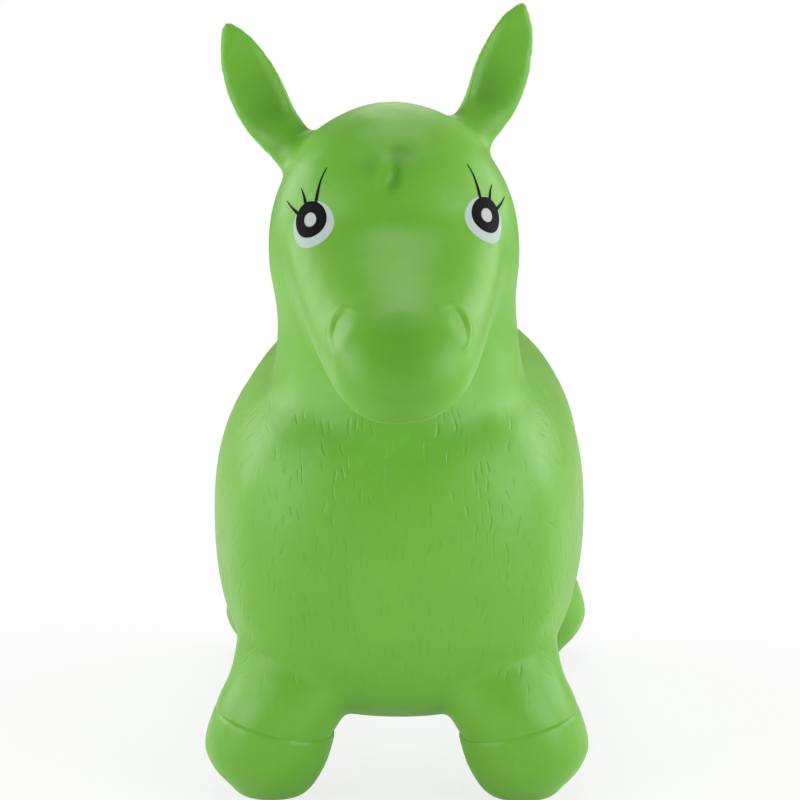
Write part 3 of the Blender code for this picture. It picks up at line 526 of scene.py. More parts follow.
def posed(points):
    """Points turned with the head, more and more along the neck."""
    point, normal = neck_plane()
    above = (points - np.array(point)) @ np.array(normal)
    weights = smoothstep(above, 0, NECK_TURN_REACH)[:, None]
    rested = np.c_[points, np.ones(len(points))]
    still, turned = (np.array(pose_matrix(w)) for w in (0, 1))
    return (rested @ still.T * (1 - weights) + rested @ turned.T * weights)[:, :3]


def in_frame(points, matrix):
    back = np.array(matrix.inverted())
    return points @ back[:3, :3].T + back[:3, 3]


def to_frame(points, matrix):
    there = np.array(matrix)
    return points @ there[:3, :3].T + there[:3, 3]


def add_object(name, data):
    made = bpy.data.objects.new(name, data)
    bpy.context.scene.collection.objects.link(made)
    return made


@contextmanager
def edited(mesh):
    """A mesh opened to be changed, and written back at the end."""
    work = bmesh.new()
    work.from_mesh(mesh)
    yield work
    work.to_mesh(mesh)
    work.free()


def built(name, build):
    """An object whose mesh is made by a function that fills a bmesh."""
    mesh = bpy.data.meshes.new(name)
    with edited(mesh) as work:
        build(work)
    return add_object(name, mesh)


def loft(name, rows, bulges, around, matrix=None, steps=SPAN_STEPS, comb=None, dome=1):
    """A closed form through cross sections, with rounded ends.

    Each row holds the section's sideways shift, its first and second points in the
    plane x = 0, its half width, its squareness and how egg-shaped it is. An end's dome
    is a half round where dome is 1, and a shallow bowl where it is 2.
    """
    rings = section_rings(smooth_rows(rows, steps), around)
    if comb:
        rings = combed(rings, *comb)
    rings = capped(rings[0], rings[1], bulges[0], dome)[::-1] + rings
    rings = rings + capped(rings[-1], rings[-2], bulges[1], dome)
    points = np.concatenate(rings)
    if matrix:
        points = to_frame(points, matrix)
    points = posed(points)

    def build(work):
        verts = [work.verts.new(p) for p in points]
        loops = [verts[i : i + around] for i in range(0, len(verts), around)]
        for lower, upper in zip(loops, loops[1:]):
            for k in range(around):
                j = (k + 1) % around
                work.faces.new((lower[k], lower[j], upper[j], upper[k]))
        work.faces.new(loops[0][::-1])
        work.faces.new(loops[-1])
        bmesh.ops.recalc_face_normals(work, faces=work.faces)

    return built(name, build)


def section_rings(rows, around):
    angles = np.linspace(0, 2 * math.pi, around, endpoint=False)
    rings = []
    for x, y1, z1, y2, z2, half_width, square, egg in rows:
        cosines, sines = (
            np.sign(turned) * np.abs(turned) ** (2 / square) for turned in (np.cos(angles), np.sin(angles))
        )
        middle = np.array((x, (y1 + y2) / 2, (z1 + z2) / 2))
        reach = np.array((0, (y1 - y2) / 2, (z1 - z2) / 2))
        across = np.array((half_width, 0, 0))
        sideways = (sines * (1 + egg * cosines))[:, None] * across
        rings.append(middle + cosines[:, None] * reach + sideways)
    return rings


def capped(ring, inner, bulge, dome):
    """Rings that close an end as a dome of this height."""
    if not bulge:
        return []
    centre = ring.mean(axis=0)
    out = centre - inner.mean(axis=0)
    out /= np.linalg.norm(out)
    turns = np.radians(DOME_TURNS)
    rises = out * bulge * np.sin(turns)[:, None] ** dome
    return [centre + (ring - centre) * share + rise for share, rise in zip(np.cos(turns), rises)]


def combed(rings, locks, wave):
    """Rings whose outer side is drawn into locks that wander from side to side."""
    angles = np.linspace(0, 2 * math.pi, len(rings[0]), endpoint=False)
    drawn = []
    for i, ring in enumerate(rings):
        along = i / (len(rings) - 1)
        outward = ring - ring.mean(axis=0)
        outward /= np.linalg.norm(outward, axis=1)[:, None]
        sway = math.sin(along * math.pi * LOCK_SWAYS) * LOCK_TURN
        ripple = np.cos(angles * locks + sway) * math.sin(along * math.pi)
        drawn.append(ring + outward * (ripple * wave)[:, None])
    return drawn


def ridge_rows(tree, line, shares, width, height):
    """Sections of a raised band on the skin, along a line of (y, z) places near it.

    It rises to the left of the line's run.
    """
    line = np.array([tree.find_nearest((0, y, z))[0][1:] for y, z in smooth_rows(line)])
    gaps = np.linalg.norm(np.diff(line, axis=0), axis=1)
    along = np.concatenate([[0.0], np.cumsum(gaps)]) / gaps.sum()
    run = np.gradient(line, along, axis=0)
    run /= np.linalg.norm(run, axis=1)[:, None]
    for share, half, rise in shares:
        y, z, run_y, run_z = (np.interp(share, along, c) for c in (*line.T, *run.T))
        out = np.array((-run_z, run_y))
        top = (y, z) + out * height * rise
        root = (y, z) - out * (height + WALL)
        yield 0, *top, *root, half * width / 2, ROUND, 0


def mane_rows(tree):
    line = [(HEAD_Y + b * NECK_DEPTH, h * CROWN_HEIGHT) for b, h in MANE_LINE_SHARES]
    return ridge_rows(tree, line, MANE_SHARES, MANE_WIDTH, MANE_HEIGHT)


def tail_rows(tree):
    line = [(b * TRUNK_LENGTH - CHEST_REACH, BELLY_HEIGHT + h * TRUNK_DEPTH) for b, h in TAIL_LINE_SHARES]
    return ridge_rows(tree, line, TAIL_SHARES, TAIL_WIDTH, TAIL_HEIGHT)


def trunk_rows():
    for back, top, bottom, half in TRUNK_SHARES:
        y = back * TRUNK_LENGTH - CHEST_REACH
        high = BELLY_HEIGHT + top * TRUNK_DEPTH
        low = BELLY_HEIGHT + bottom * TRUNK_DEPTH
        yield 0, y, high, y, low, half * TRUNK_WIDTH / 2, BOXY, 0


def neck_rows():
    for height, ahead, behind, half in NECK_SHARES:
        z = height * CROWN_HEIGHT
        front = HEAD_Y - ahead * NECK_DEPTH
        back = HEAD_Y + behind * NECK_DEPTH
        yield 0, front, z, back, z, half * HEAD_WIDTH / 2, SQUARED, 0


def head_rows():
    for ahead, high, jaw, low, half, egg in HEAD_SHARES:
        top = (HEAD_Y - ahead * HEAD_LENGTH, high * CROWN_HEIGHT)
        bottom = (HEAD_Y - jaw * HEAD_LENGTH, low * CROWN_HEIGHT)
        yield 0, *top, *bottom, half * HEAD_WIDTH / 2, ROUND, egg


def ear_matrix(side):
    """An ear's own frame: its root at the origin, its tip up, its hollow facing -Y."""
    sign = SIDES[side]
    x = sign * EAR_ROOT_SHARES[side] * HEAD_WIDTH / 2
    y = HEAD_Y + EAR_BACK_SHARE * NECK_DEPTH
    z = EAR_HEIGHT_SHARES[side] * CROWN_HEIGHT
    splay = Matrix.Rotation(math.radians(sign * EAR_SPLAY[side]), 4, "Y")
    tilt = Matrix.Rotation(math.radians(-EAR_TILT), 4, "X")
    return Matrix.Translation((x, y, z)) @ splay @ tilt


def ear_rows(side):
    for along, half, thick, shift in EAR_SHARES:
        z = along * EAR_LENGTH
        x = -SIDES[side] * shift * EAR_WIDTH / 2
        deep = thick * EAR_THICKNESS / 2
        yield x, -deep, z, deep, z, half * EAR_WIDTH / 2, ROUND, 0


def leg_places():
    """Each leg's name, its side's sign, and its hoof's centre."""
    for row, spread, y in (
        ("front", FRONT_HOOF_SPREAD, FRONT_HOOF_Y),
        ("rear", REAR_HOOF_SPREAD, REAR_HOOF_Y),
    ):
        for side, sign in SIDES.items():
            yield f"{row}_{side}", sign, sign * spread / 2, y


def limb_rows(shares, sign, x, y, step=0):
    """Sections of a leg, or of a hoof that stands proud of its leg by a step."""
    for height, out, half, deep, *ahead in shares:
        z = height * HOOF_HEIGHT
        centre = x + sign * out * HOOF_WIDTH / 2
        middle = y + math.copysign(1, y) * sum(ahead) * HOOF_LENGTH / 2
        reach = deep * HOOF_LENGTH / 2 + step
        wide = half * HOOF_WIDTH / 2 + step
        yield centre, middle - reach, z, middle + reach, z, wide, SQUARED, 0


def root_plane(sign):
    """A point on the slanted cut between the trunk and a leg, and its normal, up and in."""
    slope = math.radians(LEG_SLOPE)
    run = Vector((sign * math.cos(slope), 0, math.sin(slope)))
    normal = Vector((-sign * math.sin(slope), 0, math.cos(slope)))
    crotch = Vector((sign * LEG_GAP / 2, 0, BELLY_HEIGHT))
    return crotch - run * LEG_GAP * LEG_ROOT_SHARE, normal


def evaluated(obj):
    """Replaces an object's mesh by the one that its modifiers make."""
    graph = bpy.context.evaluated_depsgraph_get()
    mesh = bpy.data.meshes.new_from_object(obj.evaluated_get(graph))
    obj.modifiers.clear()
    obj.data = mesh
    return obj


def melded(name, pieces, voxel, passes):
    """Several closed forms made one smooth closed surface."""

    def build(work):
        for piece in pieces:
            work.from_mesh(piece.data)

    whole = built(name, build)
    remesh = whole.modifiers.new("meld", "REMESH")
    remesh.mode = "VOXEL"
    remesh.voxel_size = voxel
    relax = whole.modifiers.new("relax", "SMOOTH")
    relax.iterations = passes
    return evaluated(whole)


def relaxed(obj, reach, passes):
    """Smooths a mesh further, as far as a weighting of its points says."""
    levels = np.rint(reach(read_points(obj.data)) * RELAX_LEVELS)
    group = obj.vertex_groups.new(name="near")
    for level in range(1, RELAX_LEVELS + 1):
        near = [int(k) for k in np.flatnonzero(levels == level)]
        group.add(near, level / RELAX_LEVELS, "REPLACE")
    relax = obj.modifiers.new("relax", "SMOOTH")
    relax.vertex_group = group.name
    relax.iterations = passes
    evaluated(obj)


def refined(obj, reach):
    """Splits the faces of a mesh finer where a test of its points says so."""
    near = reach(read_points(obj.data))
    with edited(obj.data) as work:
        edges = [e for e in work.edges if near[e.verts[0].index] and near[e.verts[1].index]]
        bmesh.ops.subdivide_edges(work, edges=edges, cuts=1, use_grid_fill=True)


def read_vectors(mesh, name):
    flat = np.empty(len(mesh.vertices) * 3)
    mesh.vertices.foreach_get(name, flat)
    return flat.reshape(-1, 3)


def read_points(mesh):
    return read_vectors(mesh, "co")


def normals_of(mesh):
    return read_vectors(mesh, "normal")


def write_points(mesh, points):
    mesh.vertices.foreach_set("co", points.astype(np.float32).ravel())
    mesh.update()


def surface_tree(obj):
    points = [v.co for v in obj.data.vertices]
    return BVHTree.FromPolygons(points, [tuple(p.vertices) for p in obj.data.polygons])


def head_shares(head):
    """How far ahead and how high points lie, as shares of the head's length and the crown's height."""
    return (HEAD_Y - head[:, 1]) / HEAD_LENGTH, head[:, 2] / CROWN_HEIGHT


def face_press(head):
    """How far in the nostrils, the mouth and the groove between them lie on the face."""
    ahead, height = head_shares(head)
    front = smoothstep(ahead, *MUZZLE_REACH_SHARES) * band(height, *FACE_FADE_SHARES)
    aside, up = head[:, 0] - NOSTRIL_ASIDE, head[:, 2] - NOSTRIL_HEIGHT
    out = (np.abs(aside) - NOSTRIL_SPACING / 2 + NOSTRIL_LEAN * up) / (NOSTRIL_WIDTH / 2)
    high = up / (NOSTRIL_TALL / 2)
    away = np.hypot(out, high)
    pit = NOSTRIL_DEPTH * (1 - smoothstep(away, *NOSTRIL_WALL_SHARES))
    pit *= smoothstep(high, *NOSTRIL_RISE_SHARES) * smoothstep(out, *NOSTRIL_SLOPE_SHARES)
    crest, spread = NOSTRIL_RIM_SHARES
    rim = NOSTRIL_RIM * bump(away - crest, spread) * smoothstep(out, *NOSTRIL_RIM_FADE_SHARES)
    smile = MOUTH_HEIGHT + MOUTH_CURVE * (head[:, 0] / HEAD_WIDTH) ** 2 * HEAD_WIDTH
    reach = 1 - smoothstep(np.abs(head[:, 0]) / MOUTH_REACH, *MOUTH_FADE_SHARES)
    parting = bump(head[:, 2] - smile, MOUTH_WIDTH) * reach
    groove = GROOVE_DEPTH * bump(aside, GROOVE_WIDTH) * (1 - parting)
    groove *= 1 - smoothstep(height, *GROOVE_FADE_SHARES)
    return (pit + MOUTH_DEPTH * parting + groove - rim) * front


def brow_press(head):
    """The swirl of the forelock: hollows either side of a lock that hangs over the brow."""
    ahead, height = head_shares(head)
    push = np.zeros(len(head))
    for x, z, wide, tall, deep in SWIRL_SHARES:
        aside = (head[:, 0] / HEAD_WIDTH - x) / wide
        up = (height - z) / tall
        up *= np.where(up > 0, *SWIRL_STEEPNESS)
        push += deep * FORELOCK_HEIGHT * bump(np.hypot(aside, up), 1)
    return push * smoothstep(ahead, *SWIRL_AHEAD_SHARES) * smoothstep(height, *SWIRL_FADE_SHARES)


def ear_press(ear, side):
    """How far in the hollow in the front of an ear lies, deepest near its inner edge."""
    along = ear[:, 2] / EAR_LENGTH
    shares = np.array(EAR_SHARES)
    half = np.interp(along, shares[:, 0], shares[:, 1]) * EAR_WIDTH / 2
    across = -SIDES[side] * ear[:, 0] / (half * EAR_HOLLOW_SHARE)
    deepest = EAR_DEEPEST_SHARE
    reach = np.where(across > deepest, 1 - deepest, 1 + deepest)
    bowl = np.clip(1 - ((across - deepest) / reach) ** 2, 0, 1)
    facing = (ear[:, 1] < 0) & (np.abs(ear[:, 0]) < EAR_WIDTH) & (along > 0) & (along < 1)
    return EAR_HOLLOW * band(along, *EAR_BOWL_SHARES) * bowl * facing


def pressed(points, normals):
    """The skin's points with the face and the brow pressed in along their normals."""
    head = in_frame(points, pose_matrix())
    push = face_press(head) + brow_press(head)
    return points - normals * push[:, None]


def ear_pressed(points, side):
    """The skin's points with one ear's hollow pressed in."""
    matrix = pose_matrix() @ ear_matrix(side)
    ear = in_frame(points, matrix)
    push = ear_press(ear, side)
    ear[:, 1] += push
    return np.where(push[:, None] > 0, to_frame(ear, matrix), points)


def valve_flat(points):
    """The belly levelled where the air valve sits."""
    reach = np.hypot(points[:, 0], points[:, 1] - VALVE_Y)
    flat = 1 - smoothstep(reach / SEAT_FLANGE, *VALVE_FLAT_SHARES)
    flat = flat * (points[:, 2] < BACK_HEIGHT / 2)
    points[:, 2] += (BELLY_HEIGHT - points[:, 2]) * flat
    return points


def on_face(points):
    ahead, height = head_shares(in_frame(points, pose_matrix()))
    return (ahead > FINE_AHEAD_SHARE) & (height > FINE_HEIGHT_SHARE)


def on_ear(points):
    matrices = [pose_matrix() @ ear_matrix(side) for side in SIDES]
    ears = np.array([in_frame(points, matrix) for matrix in matrices])
    near = (ears[:, :, 2] > 0) & (np.abs(ears[:, :, 0]) < EAR_WIDTH)
    return near.any(axis=0) & (points[:, 2] > BACK_HEIGHT)


def on_brow(points):
    """1 over the nose, brow and crown, fading out to the back of the head and the ears."""
    ahead, height = head_shares(in_frame(points, pose_matrix()))
    brow = smoothstep(ahead, *BROW_AHEAD_SHARES) * smoothstep(height, *BROW_HEIGHT_SHARES)
    crown = smoothstep(ahead, *CROWN_AHEAD_SHARES) * band(height, *CROWN_FADE_SHARES)
    return np.maximum(brow, crown)


def on_chest(points):
    """1 over the chest, fading out to the neck, the legs and the flanks."""
    near, far = CHEST_FADE
    front = smoothstep(CHEST_REACH + points[:, 1], far, near)
    return front * band(points[:, 2] / BACK_HEIGHT, *CHEST_FADE_SHARES)


def skin_forms():
    """The lofted forms that melt into one skin."""
    forms = [
        loft("trunk_form", trunk_rows(), (CHEST_BULGE, RUMP_BULGE), BODY_POINTS, dome=2),
        loft("neck_form", neck_rows(), (0, CROWN_BULGE), BODY_POINTS, dome=2),
        loft("head_form", head_rows(), (CROWN_BULGE, MUZZLE_BULGE), BODY_POINTS),
    ]
    for name, sign, x, y in leg_places():
        rows = limb_rows(LEG_SHARES, sign, x, y)
        forms.append(loft(f"{name}_form", rows, (0, LEG_BULGE), LIMB_POINTS))
    for side in SIDES:
        bulges = (0, EAR_TIP_BULGE)
        forms.append(loft(f"{side}_ear_form", ear_rows(side), bulges, LIMB_POINTS, ear_matrix(side)))
    return forms


def make_skin():
    """The whole skin as one smooth form.

    The mane and tail are raised on it. The face, the forelock's swirl, the flat round
    the valve and the ears' hollows are pressed in.
    """
    forms = skin_forms()
    bare = melded("bare", forms, BARE_VOXEL, BARE_PASSES)
    tree = surface_tree(bare)
    skin = melded("skin", forms, SKIN_VOXEL, SKIN_PASSES)
    ridges = [
        loft("mane_form", mane_rows(tree), (0, 0), LIMB_POINTS, None, FINE_STEPS, (MANE_LOCKS, MANE_WAVE)),
        loft("tail_form", tail_rows(tree), (0, 0), TAIL_POINTS, None, FINE_STEPS, (TAIL_LOCKS, TAIL_WAVE)),
    ]
    ridged = melded("ridged", [skin, *ridges], SKIN_VOXEL, RIDGE_PASSES)
    refined(ridged, lambda points: on_face(points) | on_ear(points))
    relaxed(ridged, on_chest, CHEST_PASSES)
    relaxed(ridged, on_ear, EAR_PASSES)
    relaxed(ridged, on_brow, BROW_PASSES)
    points = valve_flat(pressed(read_points(ridged.data), normals_of(ridged.data)))
    for side in SIDES:
        points = ear_pressed(points, side)
    write_points(ridged.data, points)
    for form in [*forms, *ridges, bare, skin]:
        bpy.data.objects.remove(form)
    return ridged


def mark_hair(mesh):
    """Notes at each point how much hair is moulded there, which way it lies, and how much shade is painted
    into the hollows there.
    """
    points = read_points(mesh)
    normals = normals_of(mesh)
    head = in_frame(points, pose_matrix())
    ahead, height = head_shares(head)
    face = smoothstep(ahead, *BARE_AHEAD_SHARES) * smoothstep(height, *BARE_HEIGHT_SHARES)
    crown = smoothstep(height, *BARE_CROWN_SHARES)
    low = 1 - smoothstep(points[:, 2] / BELLY_HEIGHT, *BARE_LOW_SHARES)
    # Painted shade: how far the face, the brow and the ears are pressed in, darker near each ear's root.
    hollow = face_press(head) + brow_press(head) * BROW_PAINTED_SHADE
    for side in SIDES:
        ear = in_frame(points, pose_matrix() @ ear_matrix(side))
        shade = 1 - smoothstep(ear[:, 2] / EAR_LENGTH, *EAR_PAINTED_SHADE_SHARES)
        hollow += ear_press(ear - (0, HOLLOW_DEPTH, 0), side) * shade
    flank = smoothstep(np.abs(normals[:, 0]), *HAIR_SIDE_SHARES)
    top = smoothstep(normals[:, 2], *HAIR_TOP_SHARES)
    for name, values in (
        ("hair", np.clip(1 - face - crown - low * BARE_LOW_SHARE, 0, 1)),
        ("hair_side", flank * (1 - top)),
        ("hair_top", top),
        ("hollow", np.clip(hollow / HOLLOW_DEPTH, 0, 1)),
    ):
        marks = mesh.attributes.new(name, "FLOAT", "POINT")
        marks.data.foreach_set("value", values.astype(np.float32))


def leg_owners(points):
    """For each point, 0 on the body, or the number of the leg that it belongs to."""
    owner = np.zeros(len(points), int)
    for k, (_, sign, _, y) in enumerate(leg_places(), 1):
        point, normal = root_plane(sign)
        below = (points - np.array(point)) @ np.array(normal) < 0
        edge = abs(y) - HOOF_LENGTH / 2 - LEG_MARGIN
        near = (points[:, 1] * math.copysign(1, y) > edge) & (points[:, 0] * sign > 0)
        owner[below & near] = k
    return owner


def part_of(skin, name, owner, k, normals):
    """The faces of the skin that one owner has, with the shading of the whole kept."""
    piece = add_object(name, skin.data.copy())
    with edited(piece.data) as work:
        spare = [f for f in work.faces if max(owner[v.index] for v in f.verts) != k]
        index = work.verts.layers.int.new("source")
        for v in work.verts:
            v[index] = v.index
        bmesh.ops.delete(work, geom=spare, context="FACES")
    source = np.empty(len(piece.data.vertices), int)
    marks = piece.data.attributes["source"]
    marks.data.foreach_get("value", source)
    piece.data.attributes.remove(marks)
    piece.data.shade_smooth()
    piece.data.normals_split_custom_set_from_vertices([tuple(n) for n in normals[source]])
    return piece


def parted(skin):
    """The skin as a body and four legs."""
    owner = leg_owners(read_points(skin.data))
    normals = normals_of(skin.data)
    names = ["body_skin"] + [f"{name}_leg_skin" for name, _, _, _ in leg_places()]
    made = [part_of(skin, name, owner, k, normals) for k, name in enumerate(names)]
    bpy.data.objects.remove(skin)
    return made


def make_hoof(name, sign, x, y):
    """One hoof: a closed form with a soft rim round its slanted top."""
    rows = limb_rows(HOOF_SHARES, sign, x, y, HOOF_STEP)
    form = loft(f"{name}_hoof_form", rows, (0, 0), HOOF_POINTS, steps=FINE_STEPS)
    tilt = math.radians(HOOF_TILT)
    top = (x, y, HOOF_HEIGHT)
    up = (-sign * math.sin(tilt), 0, math.cos(tilt))
    with edited(form.data) as work:
        geometry = [*work.verts, *work.edges, *work.faces]
        bmesh.ops.bisect_plane(work, geom=geometry, plane_co=top, plane_no=up, clear_outer=True)
        bmesh.ops.contextual_create(work, geom=[e for e in work.edges if e.is_boundary])
    hoof = melded(f"{name}_hoof_skin", [form], HOOF_VOXEL, HOOF_PASSES)
    points = read_points(hoof.data)
    points[:, 2] = np.maximum(points[:, 2], 0)
    write_points(hoof.data, points)
    hoof.data.shade_smooth()
    bpy.data.objects.remove(form)
    return hoof


def circle(centre, radius):
    turns = np.linspace(0, 2 * math.pi, EYE_POINTS, endpoint=False)
    return np.c_[centre[0] + radius * np.cos(turns), centre[1] + radius * np.sin(turns)]


def eye_frame(tree, side):
    """Where an eye sits on the head: its middle, and its outward, upward and raised axes."""
    pose = pose_matrix()
    sign = SIDES[side]
    start = Vector((EYE_ASIDE + sign * EYE_SPACING / 2, -TRUNK_LENGTH, EYE_HEIGHTS[side]))
    middle, _, _, _ = tree.ray_cast(pose @ start, pose.to_3x3() @ Vector((0, 1, 0)))
    raised = Vector((0, 0, 0))
    for x, z in circle((0, 0), EYE_DIAMETER / 2):
        raised += tree.find_nearest(middle + Vector((x, 0, z)))[1]
    raised.normalize()
    outward = Vector((0, 0, sign)).cross(raised).normalized()
    upward = raised.cross(outward) * sign
    return middle, outward, upward, raised


def on_skin(tree, place, spots, lift):
    """Flat places at an eye, laid on the skin."""
    middle, outward, upward, raised = place
    laid = []
    for u, v in spots:
        above = middle + outward * u + upward * v + raised * EYE_DIAMETER
        spot, normal, _, _ = tree.ray_cast(above, -raised)
        laid.append(spot + normal * lift)
    return laid


def printed(name, tree, place, lines, level, closed=True):
    """A thin layer of ink, as a closed slab through lines of flat places on the skin."""
    low = PRINT_LIFT + PRINT_STEP * level
    count = len(lines[0])
    spans = [(k, (k + 1) % count) for k in range(count if closed else count - 1)]

    def build(work):
        under, over = (
            [[work.verts.new(p) for p in on_skin(tree, place, line, lift)] for line in lines]
            for lift in (low, low + PRINT_STEP)
        )
        for rows, turn in ((under, -1), (over, 1)):
            for first, second in zip(rows, rows[1:]):
                for k, j in spans:
                    work.faces.new((first[k], first[j], second[j], second[k])[::turn])
        for edge in (0, -1):
            for k, j in spans:
                work.faces.new((under[edge][k], under[edge][j], over[edge][j], over[edge][k]))
        for end in () if closed else (0, -1):
            for r in range(len(lines) - 1):
                work.faces.new((under[r][end], under[r + 1][end], over[r + 1][end], over[r][end]))
        bmesh.ops.recalc_face_normals(work, faces=work.faces)

    piece = built(name, build)
    piece.data.shade_smooth()
    piece.data.set_sharp_from_angle(angle=math.radians(PRINT_EDGE_ANGLE))
    return piece


def make_eye(tree, side):
    """The white, iris, glint and lashes printed at one eye."""
    place = eye_frame(tree, side)
    unit = EYE_DIAMETER / 2
    middle = np.array(EYE_SHIFT_SHARES) * unit
    core = circle(middle, PRINT_CORE)
    made = []
    for level, (kind, diameter, count) in enumerate(EYE_PRINTS):
        edge = circle(middle if level else (0, 0), diameter / 2)
        rings = [core + (edge - core) * t for t in np.linspace(0, 1, count)]
        made.append(printed(f"{side}_{kind}_print", tree, place, rings, level))
    for lash, shares in LASH_SHARES.items():
        line = middle + smooth_rows(np.c_[shares, np.zeros(len(shares))], FINE_STEPS)[:, :2] * unit
        run = np.gradient(line, axis=0)
        run /= np.linalg.norm(run, axis=1)[:, None]
        half = LASH_WIDTH / 2 * np.linspace(1, LASH_TIP_SHARE, len(line))[:, None]
        across = np.c_[-run[:, 1], run[:, 0]] * half
        sides = [line - across, line, line + across]
        made.append(printed(f"{side}_{lash}_lash_print", tree, place, sides, LASH_LEVEL, closed=False))
    return made


class Shader:
    """Builds a material's nodes in a few words."""

    def __init__(self, name, roughness):
        self.material = bpy.data.materials.new(name)
        self.material.use_nodes = True
        self.tree = self.material.node_tree
        self.main = self.tree.nodes["Principled BSDF"]
        self.set(Roughness=roughness)
        self.place = self.add("TexCoord").outputs["Object"]

    def set(self, **inputs):
        """Gives the main shader's inputs a value or a link."""
        for key, value in inputs.items():
            self.put(self.main.inputs[key.replace("_", " ")], value)

    def add(self, kind, **inputs):
        node = self.tree.nodes.new(f"ShaderNode{kind}")
        for key, value in inputs.items():
            self.put(node.inputs[key.replace("_", " ")], value)
        return node

    def put(self, socket, value):
        if isinstance(value, bpy.types.NodeSocket):
            self.tree.links.new(value, socket)
        else:
            socket.default_value = value

    def sum_of(self, kind, operation, *values):
        """A node that does sums, on numbers or on vectors."""
        node = self.add(kind)
        node.operation = operation
        for socket, value in zip(node.inputs, values):
            self.put(socket, value)
        return node.outputs

    def math(self, operation, *values):
        return self.sum_of("Math", operation, *values)[0]

    def between(self, value, low, high):
        """A value read as a smooth step from 0 at low to 1 at high."""
        node = self.add("MapRange", Value=value, From_Min=low, From_Max=high)
        node.interpolation_type = "SMOOTHSTEP"
        return node.outputs["Result"]

    def mixed(self, share, first, second):
        node = self.add("Mix")
        node.data_type = "RGBA"
        for name, value in (("Factor", share), ("A", first), ("B", second)):
            self.put(node.inputs[name], value)
        return node.outputs["Result"]

    def noise(self, scale, detail=PLAIN_DETAIL):
        return self.add("TexNoise", Scale=scale, Detail=detail, Vector=self.place).outputs["Fac"]

    def marked(self, name):
        node = self.add("Attribute")
        node.attribute_name = name
        return node.outputs["Fac"]

    def bumped(self, height, distance, **below):
        return self.add("Bump", Height=height, Distance=distance, **below).outputs["Normal"]


def strokes(shader, turn, seed):
    """Short grooves like moulded hair: 1 in a groove and 0 beside it.

    The texture's place is turned by these angles, so that hair lies along its second axis.
    """
    wander = shader.add("TexNoise", Scale=WANDER_SCALE, Detail=WANDER_DETAIL, Vector=shader.place)
    shift = (HAIR_WANDER,) * 3
    drift = shader.sum_of("VectorMath", "MULTIPLY_ADD", wander.outputs["Color"], shift, shader.place)[0]
    turned = shader.add("Mapping", Vector=drift, Rotation=turn).outputs[0]
    laid = shader.add("Mapping", Vector=turned, Location=(seed, seed, 0), Scale=HAIR_SCALE).outputs[0]
    cell = shader.add("TexVoronoi", Scale=1.0, Vector=laid)
    cell.voronoi_dimensions = "2D"
    offset = shader.sum_of("VectorMath", "SUBTRACT", laid, cell.outputs["Position"])[0]
    apart = shader.add("SeparateXYZ", Vector=offset)
    across = shader.math("ABSOLUTE", apart.outputs["X"])
    along = shader.math("ABSOLUTE", apart.outputs["Y"])
    thin = shader.math("SUBTRACT", 1.0, shader.between(across, *HAIR_ACROSS_SHARES))
    ends = shader.math("SUBTRACT", 1.0, shader.between(along, *HAIR_ALONG_SHARES))
    chance = shader.add("SeparateColor", Color=cell.outputs["Color"])
    present = shader.between(chance.outputs["Red"], *HAIR_CHANCE_SHARES)
    return shader.math("MULTIPLY", shader.math("MULTIPLY", thin, ends), present)


def skin_material():
    """Satin green PVC, a little cloudy, with fine hair moulded over the body, and shade painted into the
    hair's grooves and into hollows.
    """
    shader = Shader("green_skin", SKIN_ROUGHNESS)
    shader.set(Sheen_Weight=SHEEN, Sheen_Roughness=SHEEN_ROUGHNESS, Sheen_Tint=SHEEN_TINT)
    cloud = shader.noise(CLOUD_SCALE, FINE_DETAIL)
    tone = shader.mixed(shader.between(cloud, *CLOUD_SHARES), GREEN, GREEN_WARM)
    fleck = shader.between(shader.noise(FLECK_SCALE, FINE_DETAIL), *FLECK_SHARES)
    tone = shader.mixed(shader.math("MULTIPLY", fleck, FLECK_SHADE), tone, GREEN_PALE)
    quarter = math.pi / 2
    front = strokes(shader, (quarter, 0, 0), HAIR_SEEDS["front"])
    side = strokes(shader, (0, quarter, quarter + math.radians(HAIR_LEAN)), HAIR_SEEDS["side"])
    top = strokes(shader, (0, 0, 0), HAIR_SEEDS["top"])
    lying = shader.add("Mix", Factor=shader.marked("hair_side"), A=front, B=side).outputs["Result"]
    lying = shader.add("Mix", Factor=shader.marked("hair_top"), A=lying, B=top).outputs["Result"]
    hair = shader.math("MULTIPLY", lying, shader.marked("hair"))
    # Painted shade in the grooves of the moulded hair.
    tone = shader.mixed(shader.math("MULTIPLY", hair, HAIR_PAINTED_SHADE), tone, GREEN_PAINTED_SHADE)
    # Painted shade in the hollows of the face, the brow and the ears.
    hollow = shader.math("MULTIPLY", shader.marked("hollow"), HOLLOW_PAINTED_SHADE)
    tone = shader.mixed(hollow, tone, GREEN_PAINTED_SHADE)
    low, high = ROUGHNESS_SHARES
    smooth, rough = SKIN_ROUGHNESSES
    satin = shader.add("MapRange", Value=cloud, From_Min=low, From_Max=high, To_Min=smooth, To_Max=rough)
    soft = shader.bumped(shader.noise(SWELL_SCALE), SWELL_DEPTH)
    grain = shader.bumped(shader.noise(GRAIN_SCALE), GRAIN_DEPTH, Normal=soft)
    groove = shader.bumped(shader.math("SUBTRACT", 1.0, hair), HAIR_DEPTH, Normal=grain)
    shader.set(Base_Color=tone, Roughness=satin.outputs["Result"], Normal=groove)
    return shader.material


def ink_material(name, colour):
    """Pad-printed ink: a thin even film with a little speckle."""
    shader = Shader(name, INK_ROUGHNESS)
    worn = shader.between(shader.noise(INK_WEAR_SCALE, FINE_DETAIL), *INK_WEAR_SHARES)
    paler = tuple(INK_WORN_SHARE * c + INK_WORN_LIFT for c in colour[:3]) + (1.0,)
    grain = shader.bumped(shader.noise(INK_GRAIN_SCALE), GRAIN_DEPTH)
    shader.set(Specular_IOR_Level=INK_SPECULAR, Base_Color=shader.mixed(worn, colour, paler), Normal=grain)
    return shader.material


